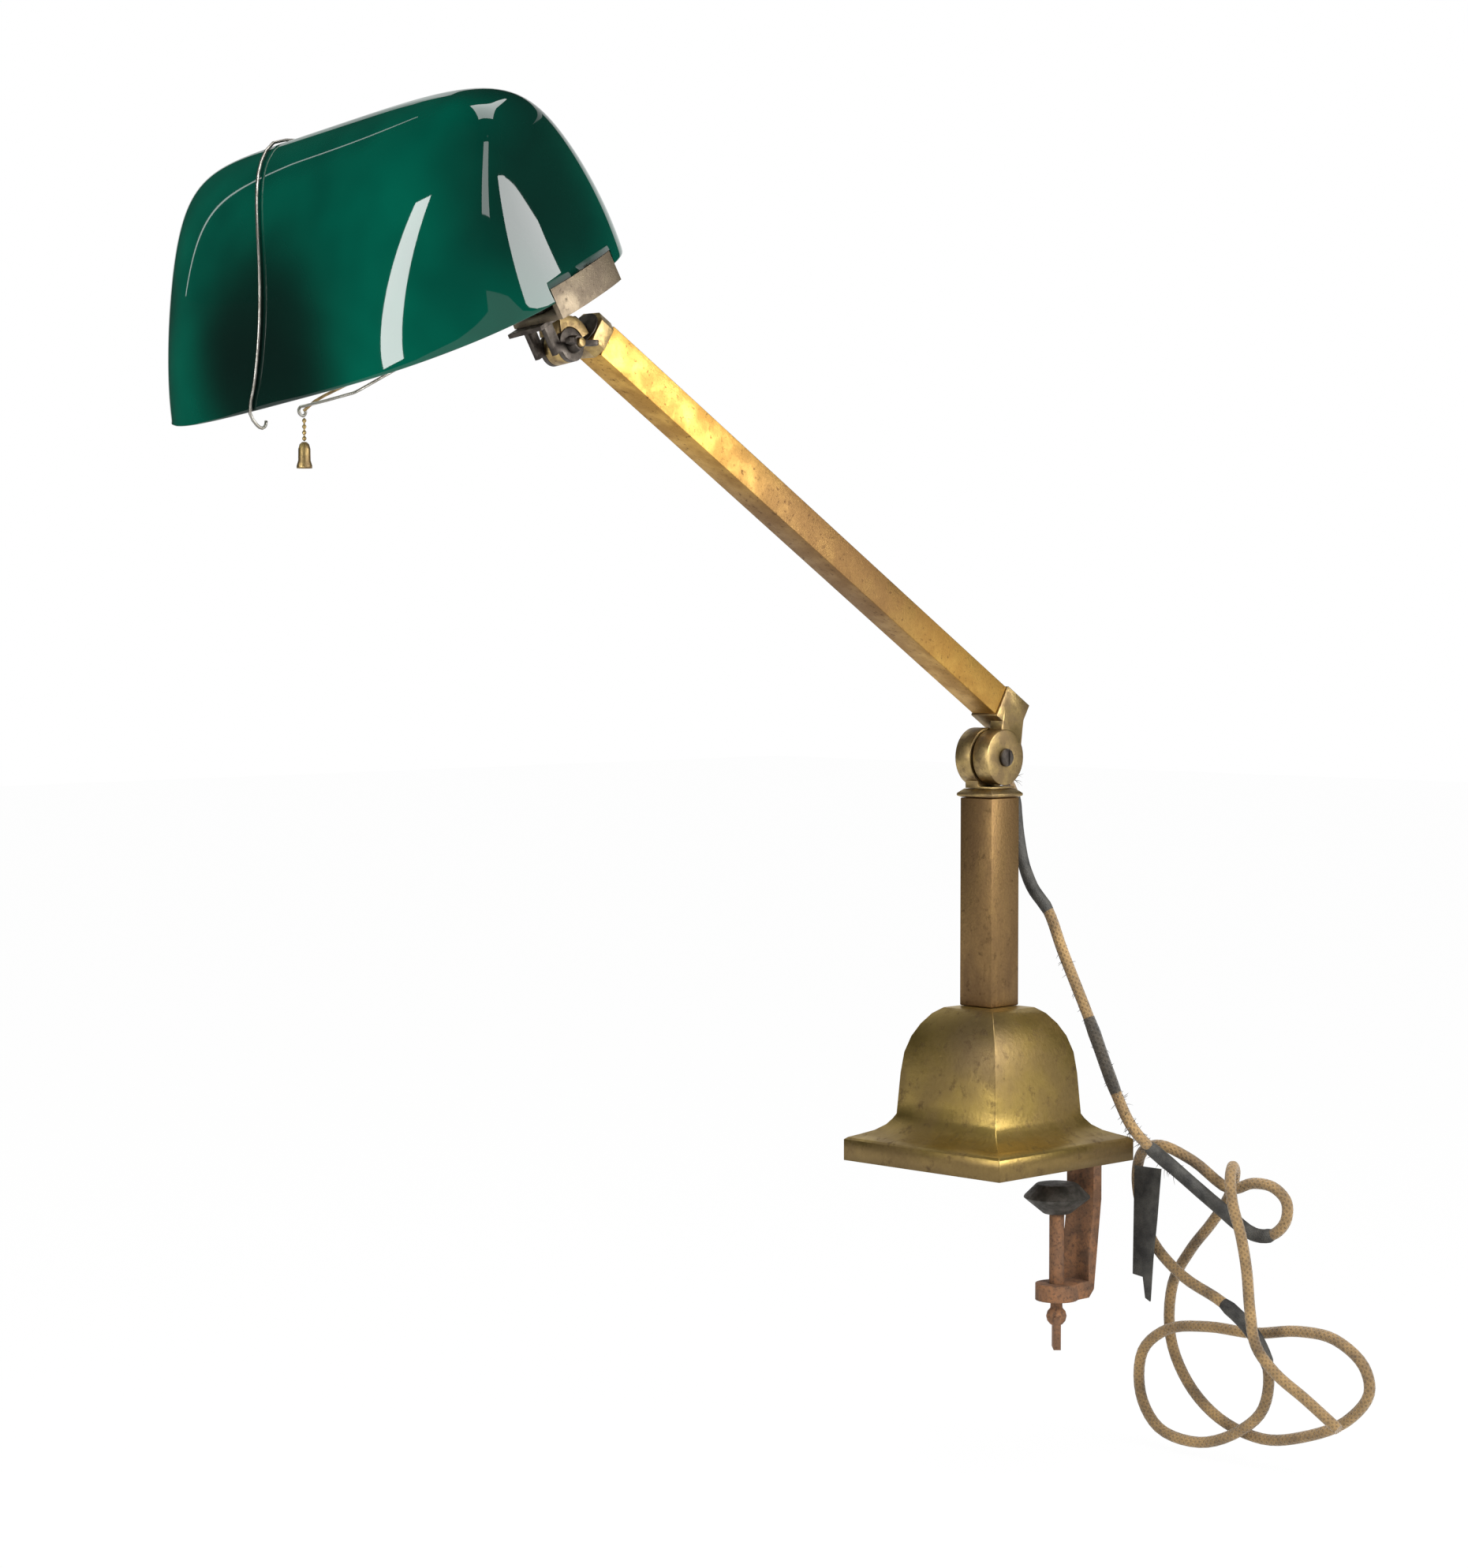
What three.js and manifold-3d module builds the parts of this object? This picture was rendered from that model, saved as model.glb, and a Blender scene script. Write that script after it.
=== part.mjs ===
// A desk lamp with a glass bankers shade, clamped to the edge of a desk.
// Millimetres, +Z up. The origin is the centre of the base's underside, on the desk top.
// The arm reaches out along -Y, the clamp is at +Y, and every knuckle turns about X.
import * as THREE from 'three';
import { mergeVertices } from 'three/addons/utils/BufferGeometryUtils.js';
import Module from 'manifold-3d';

const wasm = await Module();
wasm.setup();

// Fits that all the pieces share
const FIT = 0.3; // gap between two pieces that lie against each other
const CUT_OVERRUN = 2; // how far a cutting tool runs past the face it opens
const ROUND_STEPS = 24; // sides of a turned piece
const BORE_STEPS = 16; // sides of a small turned piece

// Base
const BASE_SIDE = 127;
const PLINTH_HEIGHT = 13;
const MOULDING_TOP = 29;
const BELL_FOOT_SIDE = 81;
const BASE_HEIGHT = 96;
const BASE_WALL = 2.6;

// Stem that ties the base, the column and the knuckle together
const STEM_DIAMETER = 10;
const STEM_BORE = 6;
const STEM_NUT_ACROSS = 18;
const STEM_NUT_HEIGHT = 5;

// Column
const COLUMN_SIDE = 25.4;
const COLUMN_WALL = 1.6;
const COLUMN_LENGTH = 128.5;
const CAP_SIDE = 29;
const CAP_HEIGHT = 5.2;
const CAP_LIP = 0.8;
const CAP_EDGE = 1.6;

// Lower knuckle
const KNUCKLE_RADIUS = 18;
const KNUCKLE_HALF_WIDTH = 12.5;
const KNUCKLE_FOOT_HEIGHT = 1.1; // from the cap to the underside of the drum
const KNUCKLE_FOOT_LENGTH = 21;
const ARM_DISC_RADIUS = 17;
const FRICTION_WASHER_RADIUS = 15;
const FRICTION_WASHER_THICKNESS = 0.8;
const PIVOT_DIAMETER = 6;
const PIVOT_HEAD_DIAMETER = 11;
const PIVOT_HEAD_HEIGHT = 3;
const PIVOT_NUT_ACROSS = 11;
const PIVOT_NUT_HEIGHT = 4.5;

// Arm
const ARM_ELEVATION = 31.5; // degrees above level
const ARM_SIDE = 19;
const ARM_WALL = 1.2;
const ARM_LENGTH = 386;
const ARM_RISE = 29.4; // from the knuckle's pivot to the middle of the arm
const ARM_BLOCK_SIDE = 21;
const ARM_BLOCK_FRONT = 18.5; // block end ahead of the pivot
const ARM_BLOCK_BACK = 5; // block end behind the pivot
const ARM_SPIGOT_LENGTH = 15;
const COLLAR_SIDE = 22.8;
const COLLAR_CHAMFER = 5;
const COLLAR_LENGTH = 10.5;

// Swivel and tilt joints at the head
const SWIVEL_ANGLE = 9.6; // degrees that the head is turned about the arm
const SWIVEL_WASHER_DIAMETER = 21;
const SWIVEL_WASHER_THICKNESS = 0.8;
const SWIVEL_SCREW_DIAMETER = 6;
const SWIVEL_SCREW_HEAD = 11;
const SWIVEL_SCREW_HEAD_HEIGHT = 4;
const SWIVEL_SCREW_DEPTH = 8; // thread that enters the neck
const TILT_ANGLE = 58.2; // degrees between the arm and the shade's own level
const TILT_AHEAD = 10.6; // tilt axis ahead of the collar
const TILT_DROP = 19; // tilt axis below the middle of the arm
const TILT_RADIUS = 9.2;
const NECK_WIDTH = 16;
const EAR_WIDTH = 9;
const CHEEK_THICKNESS = 3;
const TILT_BOLT_DIAMETER = 5;
const TILT_BOLT_HEAD = 9;
const TILT_BOLT_HEAD_HEIGHT = 3.5;
const WING_HUB_DIAMETER = 10;
const WING_HUB_HEIGHT = 5.5;
const WING_REACH = 11.5;
const WING_THICKNESS = 2.6;
const WING_LIFT = 8;
const WING_ANGLE = 63; // degrees that the wings are turned from the shade's level

// Shade bracket
const BRACKET_DROP = 9; // band below the rim of the glass
const NOTCH_HEIGHT = 8; // band above the rim of the glass
const BRACKET_WIDTH = 56;
const BRACKET_THICKNESS = 3;
const BRACKET_FLOOR_LENGTH = 43;
const BRACKET_ABOVE_TILT = 19.5; // underside of the bracket above the tilt axis
const BRACKET_AHEAD = 30.6; // end of the glass beyond the middle of the arm
const SHADE_OFFSET = 7.4; // middle of the shade behind the tilt axis
const FORK_PLATE_THICKNESS = 2.4;
const FORK_PLATE_WIDTH = 24;
const FORK_PLATE_LENGTH = 32;
const FORK_PLATE_BACK = 9.5; // rear edge of the plate behind the tilt axis
const FORK_RIVET_DIAMETER = 4.5;
const RIVET_SPREAD = 9;
const RIVET_MIDDLE = 1.5; // middle of the rivets behind the tilt axis
const RIVET_X = -6; // rivets towards the far end from the middle of the arm
const STRAP_WIDTH = 7;
const STRAP_CLEARANCE = 3;
const STRAP_SWING = 24; // slope of the neck's front, for the straps when the head is tipped right back

// Glass shade
const SHADE_FAR_HALF = 147.5;
const SHADE_NEAR_HALF = 140.7;
const SHADE_HALF_DEPTH = 91.4;
const SHADE_HEIGHT = 121.2;
const GLASS_WALL = 3.6;
const SHADE_SECTION_POINTS = 48;
const SHADE_LEVELS = 13;
// Exponents of the glass's curves, as shares: rise and round bend the wall inwards over its height,
// plan and crown are the squareness of the corners at the rim and at the top, and draft is the share
// that a straight wall leans in by
const FAR_END_CURVE = { rise: 8, round: 5, plan: 3.8, crown: 2, draft: 0.22 };
const NEAR_END_CURVE = { rise: 10.5, round: 4.3, plan: 2.53, crown: 3.8, draft: 0 };
const SIDE_CURVE = { rise: 1.68, round: 1.62, draft: 0.05 };

// Socket and bulb
const SOCKET_ABOVE_RIM = 36;
const SOCKET_ARM_WIDTH = 22;
const SOCKET_ARM_THICKNESS = 2.5;
const SOCKET_ARM_BEHIND_BAND = 24;
const SOCKET_CAP_LENGTH = 14;
const SOCKET_CAP_DIAMETER = 33;
const SOCKET_SHELL_LENGTH = 34;
const SOCKET_SHELL_DIAMETER = 31;
const SOCKET_WALL = 1.2;
const NIPPLE_DIAMETER = 9.6;
const NIPPLE_LENGTH = 16;
const NIPPLE_NUT_ACROSS = 15;
const NIPPLE_NUT_HEIGHT = 4;
const INSULATOR_WALL = 1.2;
const BULB_BASE_DIAMETER = 24;
const BULB_BASE_LENGTH = 22;
const BULB_DIAMETER = 46;
const BULB_LENGTH = 82;
const BULB_WALL = 1;

// Wire bail and pull chain
const BAIL_WIRE = 1.9;
const BAIL_FROM_FAR_END = 114.7;
const BAIL_SKEW = 10.5; // the front hook is this much nearer the far end than the ridge
const BAIL_HOOK_DROP = 9;
const BAIL_EYE_DROP = 20;
const BAIL_EYE_FORWARD = 22.4; // eye ahead of the middle of the shade // straight end of the wire below the rim
const BAIL_END_LENGTH = 46;
const BAIL_BOW = 25; // halfway up the glass the wire stands this much nearer the bracket // straight end, from its bend to the eye that guides the chain
const BAIL_SPANS = 22; // straight spans of the wire over the glass
const BAIL_STANDOFF = 0.9; // gap from the wire to the glass at its bends
const CHAIN_BEAD = 2.6;
const CHAIN_LINK = 0.9;
const CHAIN_PITCH = 3.4;
const CHAIN_BEADS = 4;
const PULL_BELL_HEIGHT = 15;
const PULL_BELL_MOUTH = 9;
const LEAD_DIAMETER = 2;
const OUTLET_DIAMETER = 6;
const OUTLET_LENGTH = 7;

// Clamp
const CLAMP_WIDTH = 22;
const TONGUE_THICKNESS = 7;
const TONGUE_FRONT = 24; // tongue ahead of the stem
const TONGUE_FLOOR = 2; // metal left under the stem
const SCREW_BACK = 66; // screw axis behind the stem
const CLAMP_BACK_INNER = 89;
const CLAMP_BACK_OUTER = 97;
const CLAMP_LEAN = 7; // how far the back comes forward at its foot
const CLAMP_FOOT_TOP = 85.5;
const CLAMP_FOOT_THICKNESS = 10.5;
const CLAMP_BOSS_RADIUS = 13.5;
const SCREW_DIAMETER = 9.5;
const PAD_TOP = 22; // pad below the desk top's upper face, the clamped thickness
const PAD_RADIUS = 21;
const PAD_CROWN_RADIUS = 13;
const PAD_HUB_RADIUS = 8.5;
const PAD_CROWN = 8;
const PAD_HEIGHT = 19;
const SCREW_BALL_DIAMETER = 13;
const SCREW_NECK_DIAMETER = 7.5;
const SCREW_NECK_LENGTH = 5;
const SCREW_TAB_WIDTH = 14;
const SCREW_TAB_THICKNESS = 4.6;
const SCREW_TAB_ANGLE = 45; // degrees that the tab is turned at rest
const SCREW_TAB_LENGTH = 18;

// Cord
const CORD_DIAMETER = 7;
const CORD_SIDES = 8;
const CORD_STEPS = 80;
const BUSH_DIAMETER = 10;
const BUSH_BORE = 7.6;
const BUSH_LENGTH = 9;
const BUSH_PROUD = 4;
const BUSH_ANGLE = -33; // degrees from level, behind the knuckle
const TAPE_THICKNESS = 1.1;
const TAPE_STRIP_Y = 97.5;

const BRASS = finish('#b29a55', 0.38, 0.95);
const PALE_BRASS = finish('#a4957c', 0.45, 0.9);
const GOLD_BRASS = finish('#d9b45a', 0.3, 0.95);
const STEEL = finish('#4a443f', 0.5, 0.85);
const WIRE_STEEL = finish('#8d8f8c', 0.35, 0.9);
const RUSTED_IRON = finish('#9a6f57', 0.85, 0.35);
const DARK_IRON = finish('#4b4743', 0.8, 0.4);
const GREEN_GLASS = finish('#12573f', 0.08, 0);
const CLEAR_GLASS = finish('#e9e6da', 0.05, 0);
const CARD = finish('#3a2c22', 0.8, 0);
const CLOTH = finish('#a38d6b', 0.9, 0);
const TAPE = finish('#3d3b37', 0.75, 0);

function finish(colour, roughness, metalness) {
  return new THREE.MeshStandardMaterial({ color: colour, roughness, metalness });
}

function radians(degrees) {
  return THREE.MathUtils.degToRad(degrees);
}

// Turns a closed geometry into a solid with its faces pointing out.
function solid(geometry) {
  const bare = geometry.clone();
  bare.deleteAttribute('normal');
  bare.deleteAttribute('uv');
  const merged = mergeVertices(bare, 1e-4);
  const points = merged.getAttribute('position').array;
  const index = Array.from(merged.getIndex().array);
  const triangles = [];
  for (let i = 0; i < index.length; i += 3) {
    const [a, b, c] = index.slice(i, i + 3);
    if (a !== b && b !== c && c !== a) {
      triangles.push(a, b, c);
    }
  }
  if (signedVolume(points, triangles) < 0) {
    triangles.reverse();
  }
  return new wasm.Manifold(new wasm.Mesh({
    numProp: 3,
    vertProperties: Float32Array.from(points),
    triVerts: Uint32Array.from(triangles),
  }));
}

function signedVolume(points, triangles) {
  const corner = (i) => new THREE.Vector3().fromArray(points, 3 * i);
  let sum = 0;
  for (let i = 0; i < triangles.length; i += 3) {
    const [a, b, c] = triangles.slice(i, i + 3).map(corner);
    sum += a.dot(b.cross(c));
  }
  return sum / 6;
}

function geometryOf(shape) {
  const mesh = shape.getMesh();
  const geometry = new THREE.BufferGeometry();
  geometry.setAttribute('position', new THREE.BufferAttribute(Float32Array.from(mesh.vertProperties), 3));
  geometry.setIndex(Array.from(mesh.triVerts));
  geometry.computeVertexNormals();
  return geometry;
}

function cut(geometry, ...tools) {
  return geometryOf(tools.reduce((rest, tool) => rest.subtract(solid(tool)), solid(geometry)));
}

function join(...geometries) {
  return geometryOf(geometries.map(solid).reduce((whole, piece) => whole.add(piece)));
}

function common(first, second) {
  return geometryOf(solid(first).intersect(solid(second)));
}

function box(x0, x1, y0, y1, z0, z1) {
  const geometry = new THREE.BoxGeometry(x1 - x0, y1 - y0, z1 - z0);
  return geometry.translate((x0 + x1) / 2, (y0 + y1) / 2, (z0 + z1) / 2);
}

// A turned piece about Z. Its profile is a list of [radius, height], closed on the axis or on itself.
function turned(profile, steps = ROUND_STEPS, start = 0) {
  const points = profile.map(([radius, height]) => new THREE.Vector2(radius, height));
  return new THREE.LatheGeometry(points, steps, start).rotateX(Math.PI / 2);
}

// A piece with a square plan about Z. Its profile is a list of [half side, height].
function squared(profile) {
  return turned(profile.map(([half, height]) => [half * Math.SQRT2, height]), 4, Math.PI / 4);
}

function rod(radius, z0, z1, steps = BORE_STEPS) {
  return turned([[0, z0], [radius, z0], [radius, z1], [0, z1]], steps);
}

function pipe(outer, inner, z0, z1, steps = ROUND_STEPS) {
  return turned([[inner, z0], [outer, z0], [outer, z1], [inner, z1], [inner, z0]], steps);
}

// Lays a piece made about Z along X, so that its height runs along +X.
function alongX(geometry) {
  return geometry.rotateY(Math.PI / 2);
}

// Lays a piece made about Z along -Y, so that its height runs along -Y.
function alongArm(geometry) {
  return geometry.rotateX(Math.PI / 2);
}

// A plate with an outline in the YZ plane, from x0 to x1.
function plateYZ(outline, x0, x1) {
  const shape = new THREE.Shape(outline.map(([y, z]) => new THREE.Vector2(y, z)));
  const geometry = new THREE.ExtrudeGeometry(shape, { depth: x1 - x0, bevelEnabled: false });
  const turn = new THREE.Matrix4().set(0, 0, 1, x0, 1, 0, 0, 0, 0, 1, 0, 0, 0, 0, 0, 1);
  return geometry.applyMatrix4(turn);
}

// A plate with an outline in the XY plane, from z0 to z1.
function plateXY(outline, z0, z1) {
  const shape = new THREE.Shape(outline.map(([x, y]) => new THREE.Vector2(x, y)));
  return new THREE.ExtrudeGeometry(shape, { depth: z1 - z0, bevelEnabled: false }).translate(0, 0, z0);
}

function arc(cx, cy, radius, from, to, steps) {
  const points = [];
  for (let i = 0; i <= steps; i += 1) {
    const angle = radians(from + (to - from) * i / steps);
    points.push([cx + radius * Math.cos(angle), cy + radius * Math.sin(angle)]);
  }
  return points;
}

function tube(points, diameter, sides, steps) {
  const path = new THREE.CatmullRomCurve3(points.map((p) => new THREE.Vector3(...p)), false, 'centripetal');
  if (!steps) {
    // Two steps from each point to the next, so that a small bend keeps its shape
    steps = 2 * (points.length - 1);
    path.getPointAt = (share, target) => path.getPoint(share, target);
    path.getTangentAt = (share, target) => path.getTangent(share, target);
    path.getSpacedPoints = (count) => path.getPoints(count);
  }
  const section = new THREE.Shape(arc(0, 0, diameter / 2, 0, 360, sides).slice(0, sides)
    .map(([x, y]) => new THREE.Vector2(x, y)));
  return new THREE.ExtrudeGeometry(section, { steps, extrudePath: path });
}

function addPiece(group, name, geometry, material) {
  const mesh = new THREE.Mesh(geometryOf(solid(geometry)), material);
  mesh.name = name;
  group.add(mesh);
  return mesh;
}

// Base
function bellBase() {
  const half = BASE_SIDE / 2;
  const foot = BELL_FOOT_SIDE / 2;
  const flare = half - foot;
  const rise = MOULDING_TOP - PLINTH_HEIGHT;
  const bell = BASE_HEIGHT - MOULDING_TOP;
  // Shares of the flare and its rise, then of the bell's foot and its height
  const mouldingShares = [[0.93, 0.08], [0.7, 0.2], [0.42, 0.36], [0.2, 0.58], [0.07, 0.82], [0, 1]];
  const bellShares = [
    [0.985, 0.13], [0.957, 0.38], [0.918, 0.57], [0.842, 0.72], [0.742, 0.835], [0.62, 0.93],
    [0.495, 0.985], [0.33, 1],
  ];
  const outer = [[half, 0], [half, PLINTH_HEIGHT]]
    .concat(mouldingShares.map(([out, up]) => [foot + flare * out, PLINTH_HEIGHT + rise * up]))
    .concat(bellShares.map(([out, up]) => [foot * out, MOULDING_TOP + bell * up]));
  const hole = STEM_DIAMETER / 2 + FIT;
  const inner = [[hole, BASE_HEIGHT], [hole, BASE_HEIGHT - BASE_WALL]];
  for (const [out, up] of bellShares.slice(1, -1).reverse()) {
    inner.push([foot * out - BASE_WALL, MOULDING_TOP + (bell - BASE_WALL) * up]);
  }
  inner.push([foot - BASE_WALL, MOULDING_TOP]);
  inner.push([foot + flare * 0.42 - BASE_WALL, PLINTH_HEIGHT + rise * 0.2 - BASE_WALL / 2]);
  inner.push([half - BASE_WALL, PLINTH_HEIGHT - BASE_WALL]);
  inner.push([half - BASE_WALL, 0]);
  const shell = squared(outer.concat(inner, [outer[0]]));
  const notch = box(
    -CLAMP_WIDTH / 2 - FIT, CLAMP_WIDTH / 2 + FIT,
    half - 2 * BASE_WALL, half + CUT_OVERRUN,
    -CUT_OVERRUN, TONGUE_THICKNESS + FIT,
  );
  return cut(shell, notch);
}

function hexNut(across, bore, z0, z1) {
  const corner = across / Math.sqrt(3);
  return cut(rod(corner, z0, z1, 6), rod(bore, z0 - CUT_OVERRUN, z1 + CUT_OVERRUN));
}

// Clamp
function clampFrame() {
  const x = CLAMP_WIDTH / 2;
  const foot = -CLAMP_FOOT_TOP;
  const sole = foot - CLAMP_FOOT_THICKNESS;
  const back = CLAMP_BACK_OUTER - CLAMP_BACK_INNER;
  const corner = back * 0.6;
  const outline = [
    [-TONGUE_FRONT, 0], [CLAMP_BACK_INNER, 0],
    [CLAMP_BACK_INNER, foot * 0.45],
    [CLAMP_BACK_INNER - CLAMP_LEAN, foot],
    [SCREW_BACK, foot], [SCREW_BACK, sole],
    [CLAMP_BACK_OUTER - CLAMP_LEAN - corner, sole],
    [CLAMP_BACK_OUTER - CLAMP_LEAN, sole + corner],
    [CLAMP_BACK_OUTER, foot * 0.4],
    [CLAMP_BACK_OUTER, TONGUE_THICKNESS - corner],
    [CLAMP_BACK_OUTER - corner, TONGUE_THICKNESS],
    [-TONGUE_FRONT, TONGUE_THICKNESS],
  ];
  const body = plateYZ(outline, -x, x);
  const boss = rod(CLAMP_BOSS_RADIUS, sole, foot, ROUND_STEPS).translate(0, SCREW_BACK, 0);
  // The sides of the back are hollowed between its edge ribs
  const rib = back * 0.3;
  const hollowDepth = back * 0.35;
  const hollow = box(
    -x + rib * 1.5, x - rib * 1.5,
    CLAMP_BACK_OUTER - hollowDepth, CLAMP_BACK_OUTER + CUT_OVERRUN,
    foot * 0.4 + rib, -rib * 2,
  );
  const screwHole = rod(SCREW_DIAMETER / 2 + FIT, sole - CUT_OVERRUN, foot + CUT_OVERRUN)
    .translate(0, SCREW_BACK, 0);
  const stemHole = rod(STEM_DIAMETER / 2 + FIT, TONGUE_FLOOR, TONGUE_THICKNESS + CUT_OVERRUN);
  // The back's inner face is relieved where the pad passes it on its way down
  const padWay = rod(PAD_RADIUS + 2 * FIT, foot, -PAD_TOP, 2 * ROUND_STEPS)
    .translate(0, SCREW_BACK, 0);
  return cut(join(body, boss), screwHole, stemHole, hollow, padWay);
}

function clampPad() {
  const rim = PAD_TOP + PAD_CROWN;
  const socket = SCREW_DIAMETER / 2 + FIT;
  return turned([
    [0, -PAD_TOP], [PAD_CROWN_RADIUS, -PAD_TOP], [PAD_RADIUS, -rim], [PAD_RADIUS, -rim - FIT * 3],
    [PAD_HUB_RADIUS, -PAD_TOP - PAD_HEIGHT], [socket, -PAD_TOP - PAD_HEIGHT],
    [socket, -rim], [0, -rim],
  ]).translate(0, SCREW_BACK, 0);
}

function clampScrew() {
  const tip = -PAD_TOP - PAD_CROWN - FIT;
  const shoulder = -CLAMP_FOOT_TOP - CLAMP_FOOT_THICKNESS - FIT;
  const neck = shoulder - SCREW_NECK_LENGTH;
  const ball = SCREW_BALL_DIAMETER / 2;
  const centre = neck - ball * 0.8;
  const shank = SCREW_DIAMETER / 2;
  const throat = SCREW_NECK_DIAMETER / 2;
  const turnedPart = turned([
    [0, tip], [shank, tip], [shank, shoulder], [throat, shoulder - SCREW_NECK_LENGTH / 2],
    [ball * 0.6, neck],
    ...[-0.45, 0, 0.45, 0.8].map((share) => [ball * Math.sqrt(1 - share * share), centre - ball * share]),
    [0, centre - ball],
  ], BORE_STEPS);
  const tab = box(
    -SCREW_TAB_THICKNESS / 2, SCREW_TAB_THICKNESS / 2,
    -SCREW_TAB_WIDTH / 2, SCREW_TAB_WIDTH / 2,
    centre - ball * 0.4 - SCREW_TAB_LENGTH, centre,
  );
  const waist = box(
    -SCREW_TAB_THICKNESS, SCREW_TAB_THICKNESS,
    -SCREW_TAB_WIDTH / 2, SCREW_TAB_WIDTH / 2,
    centre - ball * 0.4 - SCREW_TAB_LENGTH, centre,
  );
  const rounded = common(tab, waist).rotateZ(radians(SCREW_TAB_ANGLE));
  return join(turnedPart, rounded).translate(0, SCREW_BACK, 0);
}

// Column and lower knuckle
const COLUMN_BOTTOM = BASE_HEIGHT + FIT;
const COLUMN_TOP = COLUMN_BOTTOM + COLUMN_LENGTH;
const CAP_BOTTOM = COLUMN_TOP + FIT;
const CAP_TOP = CAP_BOTTOM + CAP_HEIGHT;
const KNUCKLE_BOTTOM = CAP_TOP + FIT;
const PIVOT_HEIGHT = KNUCKLE_BOTTOM + KNUCKLE_FOOT_HEIGHT + KNUCKLE_RADIUS;
const STEM_TOP = KNUCKLE_BOTTOM + KNUCKLE_FOOT_HEIGHT;
const HALF_GAP = FRICTION_WASHER_THICKNESS / 2 + FIT;

function columnTube() {
  const outer = COLUMN_SIDE / 2;
  const inner = outer - COLUMN_WALL;
  return squared([
    [inner, COLUMN_BOTTOM], [outer, COLUMN_BOTTOM], [outer, COLUMN_TOP], [inner, COLUMN_TOP],
    [inner, COLUMN_BOTTOM],
  ]);
}

function columnCap() {
  const side = CAP_SIDE / 2;
  const hole = STEM_DIAMETER / 2 + FIT;
  const top = KNUCKLE_FOOT_LENGTH / 2 + CAP_LIP;
  return squared([
    [hole, CAP_BOTTOM], [COLUMN_SIDE / 2, CAP_BOTTOM], [side, CAP_BOTTOM + CAP_LIP],
    [side, CAP_BOTTOM + CAP_LIP + CAP_EDGE], [top, CAP_TOP], [hole, CAP_TOP], [hole, CAP_BOTTOM],
  ]);
}

function columnKnuckle() {
  const foot = KNUCKLE_FOOT_LENGTH / 2;
  const side = KNUCKLE_HALF_WIDTH - (CAP_SIDE - COLUMN_SIDE) / 2;
  const drum = alongX(rod(KNUCKLE_RADIUS, -KNUCKLE_HALF_WIDTH, -HALF_GAP, 2 * ROUND_STEPS))
    .translate(0, 0, PIVOT_HEIGHT);
  const pedestal = box(-side, -HALF_GAP, -foot, foot, KNUCKLE_BOTTOM, PIVOT_HEIGHT - KNUCKLE_RADIUS * 0.6);
  const plinth = box(-side, side, -foot, foot, KNUCKLE_BOTTOM, KNUCKLE_BOTTOM + KNUCKLE_FOOT_HEIGHT);
  const stemHole = rod(STEM_DIAMETER / 2 + FIT, KNUCKLE_BOTTOM - CUT_OVERRUN, STEM_TOP + FIT);
  const pivotHole = alongX(rod(
    PIVOT_DIAMETER / 2 + FIT,
    -KNUCKLE_HALF_WIDTH - CUT_OVERRUN, CUT_OVERRUN,
  )).translate(0, 0, PIVOT_HEIGHT);
  const sweep = alongX(rod(KNUCKLE_RADIUS - FIT, -HALF_GAP, KNUCKLE_HALF_WIDTH + CUT_OVERRUN, 2 * ROUND_STEPS))
    .translate(0, 0, PIVOT_HEIGHT);
  const bushHole = bushPlaced(rod(
    BUSH_DIAMETER / 2 + FIT,
    KNUCKLE_RADIUS + BUSH_PROUD - BUSH_LENGTH - FIT, KNUCKLE_RADIUS + BUSH_PROUD + CUT_OVERRUN,
  ));
  return cut(join(drum, pedestal, plinth), stemHole, pivotHole, sweep, bushHole);
}

// Places a piece made about Z so that it leaves the fixed drum at the bush's angle.
function bushPlaced(geometry) {
  const middle = -(KNUCKLE_HALF_WIDTH + HALF_GAP) / 2;
  return geometry
    .rotateX(-Math.PI / 2)
    .rotateX(radians(BUSH_ANGLE))
    .translate(middle, 0, PIVOT_HEIGHT);
}

function cordBush() {
  const outer = BUSH_DIAMETER / 2;
  const inner = BUSH_BORE / 2;
  const end = KNUCKLE_RADIUS + BUSH_PROUD;
  return bushPlaced(pipe(outer, inner, end - BUSH_LENGTH, end, BORE_STEPS));
}

function frictionWasher() {
  const half = FRICTION_WASHER_THICKNESS / 2;
  return alongX(pipe(FRICTION_WASHER_RADIUS, PIVOT_DIAMETER / 2 + FIT, -half, half))
    .translate(0, 0, PIVOT_HEIGHT);
}

function pivotScrew() {
  const head = KNUCKLE_HALF_WIDTH + FIT;
  const shank = alongX(rod(PIVOT_DIAMETER / 2, -head - PIVOT_NUT_HEIGHT - CUT_OVERRUN, head));
  const top = alongX(turned([
    [0, head], [PIVOT_HEAD_DIAMETER / 2, head],
    [PIVOT_HEAD_DIAMETER / 2, head + PIVOT_HEAD_HEIGHT * 0.5],
    [PIVOT_HEAD_DIAMETER * 0.36, head + PIVOT_HEAD_HEIGHT], [0, head + PIVOT_HEAD_HEIGHT],
  ], BORE_STEPS));
  const slot = box(
    head + PIVOT_HEAD_HEIGHT * 0.5, head + PIVOT_HEAD_HEIGHT + CUT_OVERRUN,
    -PIVOT_HEAD_DIAMETER * 0.08, PIVOT_HEAD_DIAMETER * 0.08,
    -PIVOT_HEAD_DIAMETER, PIVOT_HEAD_DIAMETER,
  );
  return cut(join(shank, top), slot).translate(0, 0, PIVOT_HEIGHT);
}

function pivotNut() {
  const start = KNUCKLE_HALF_WIDTH + FIT;
  return alongX(hexNut(PIVOT_NUT_ACROSS, PIVOT_DIAMETER / 2 + FIT, -start - PIVOT_NUT_HEIGHT, -start))
    .translate(0, 0, PIVOT_HEIGHT);
}

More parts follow.
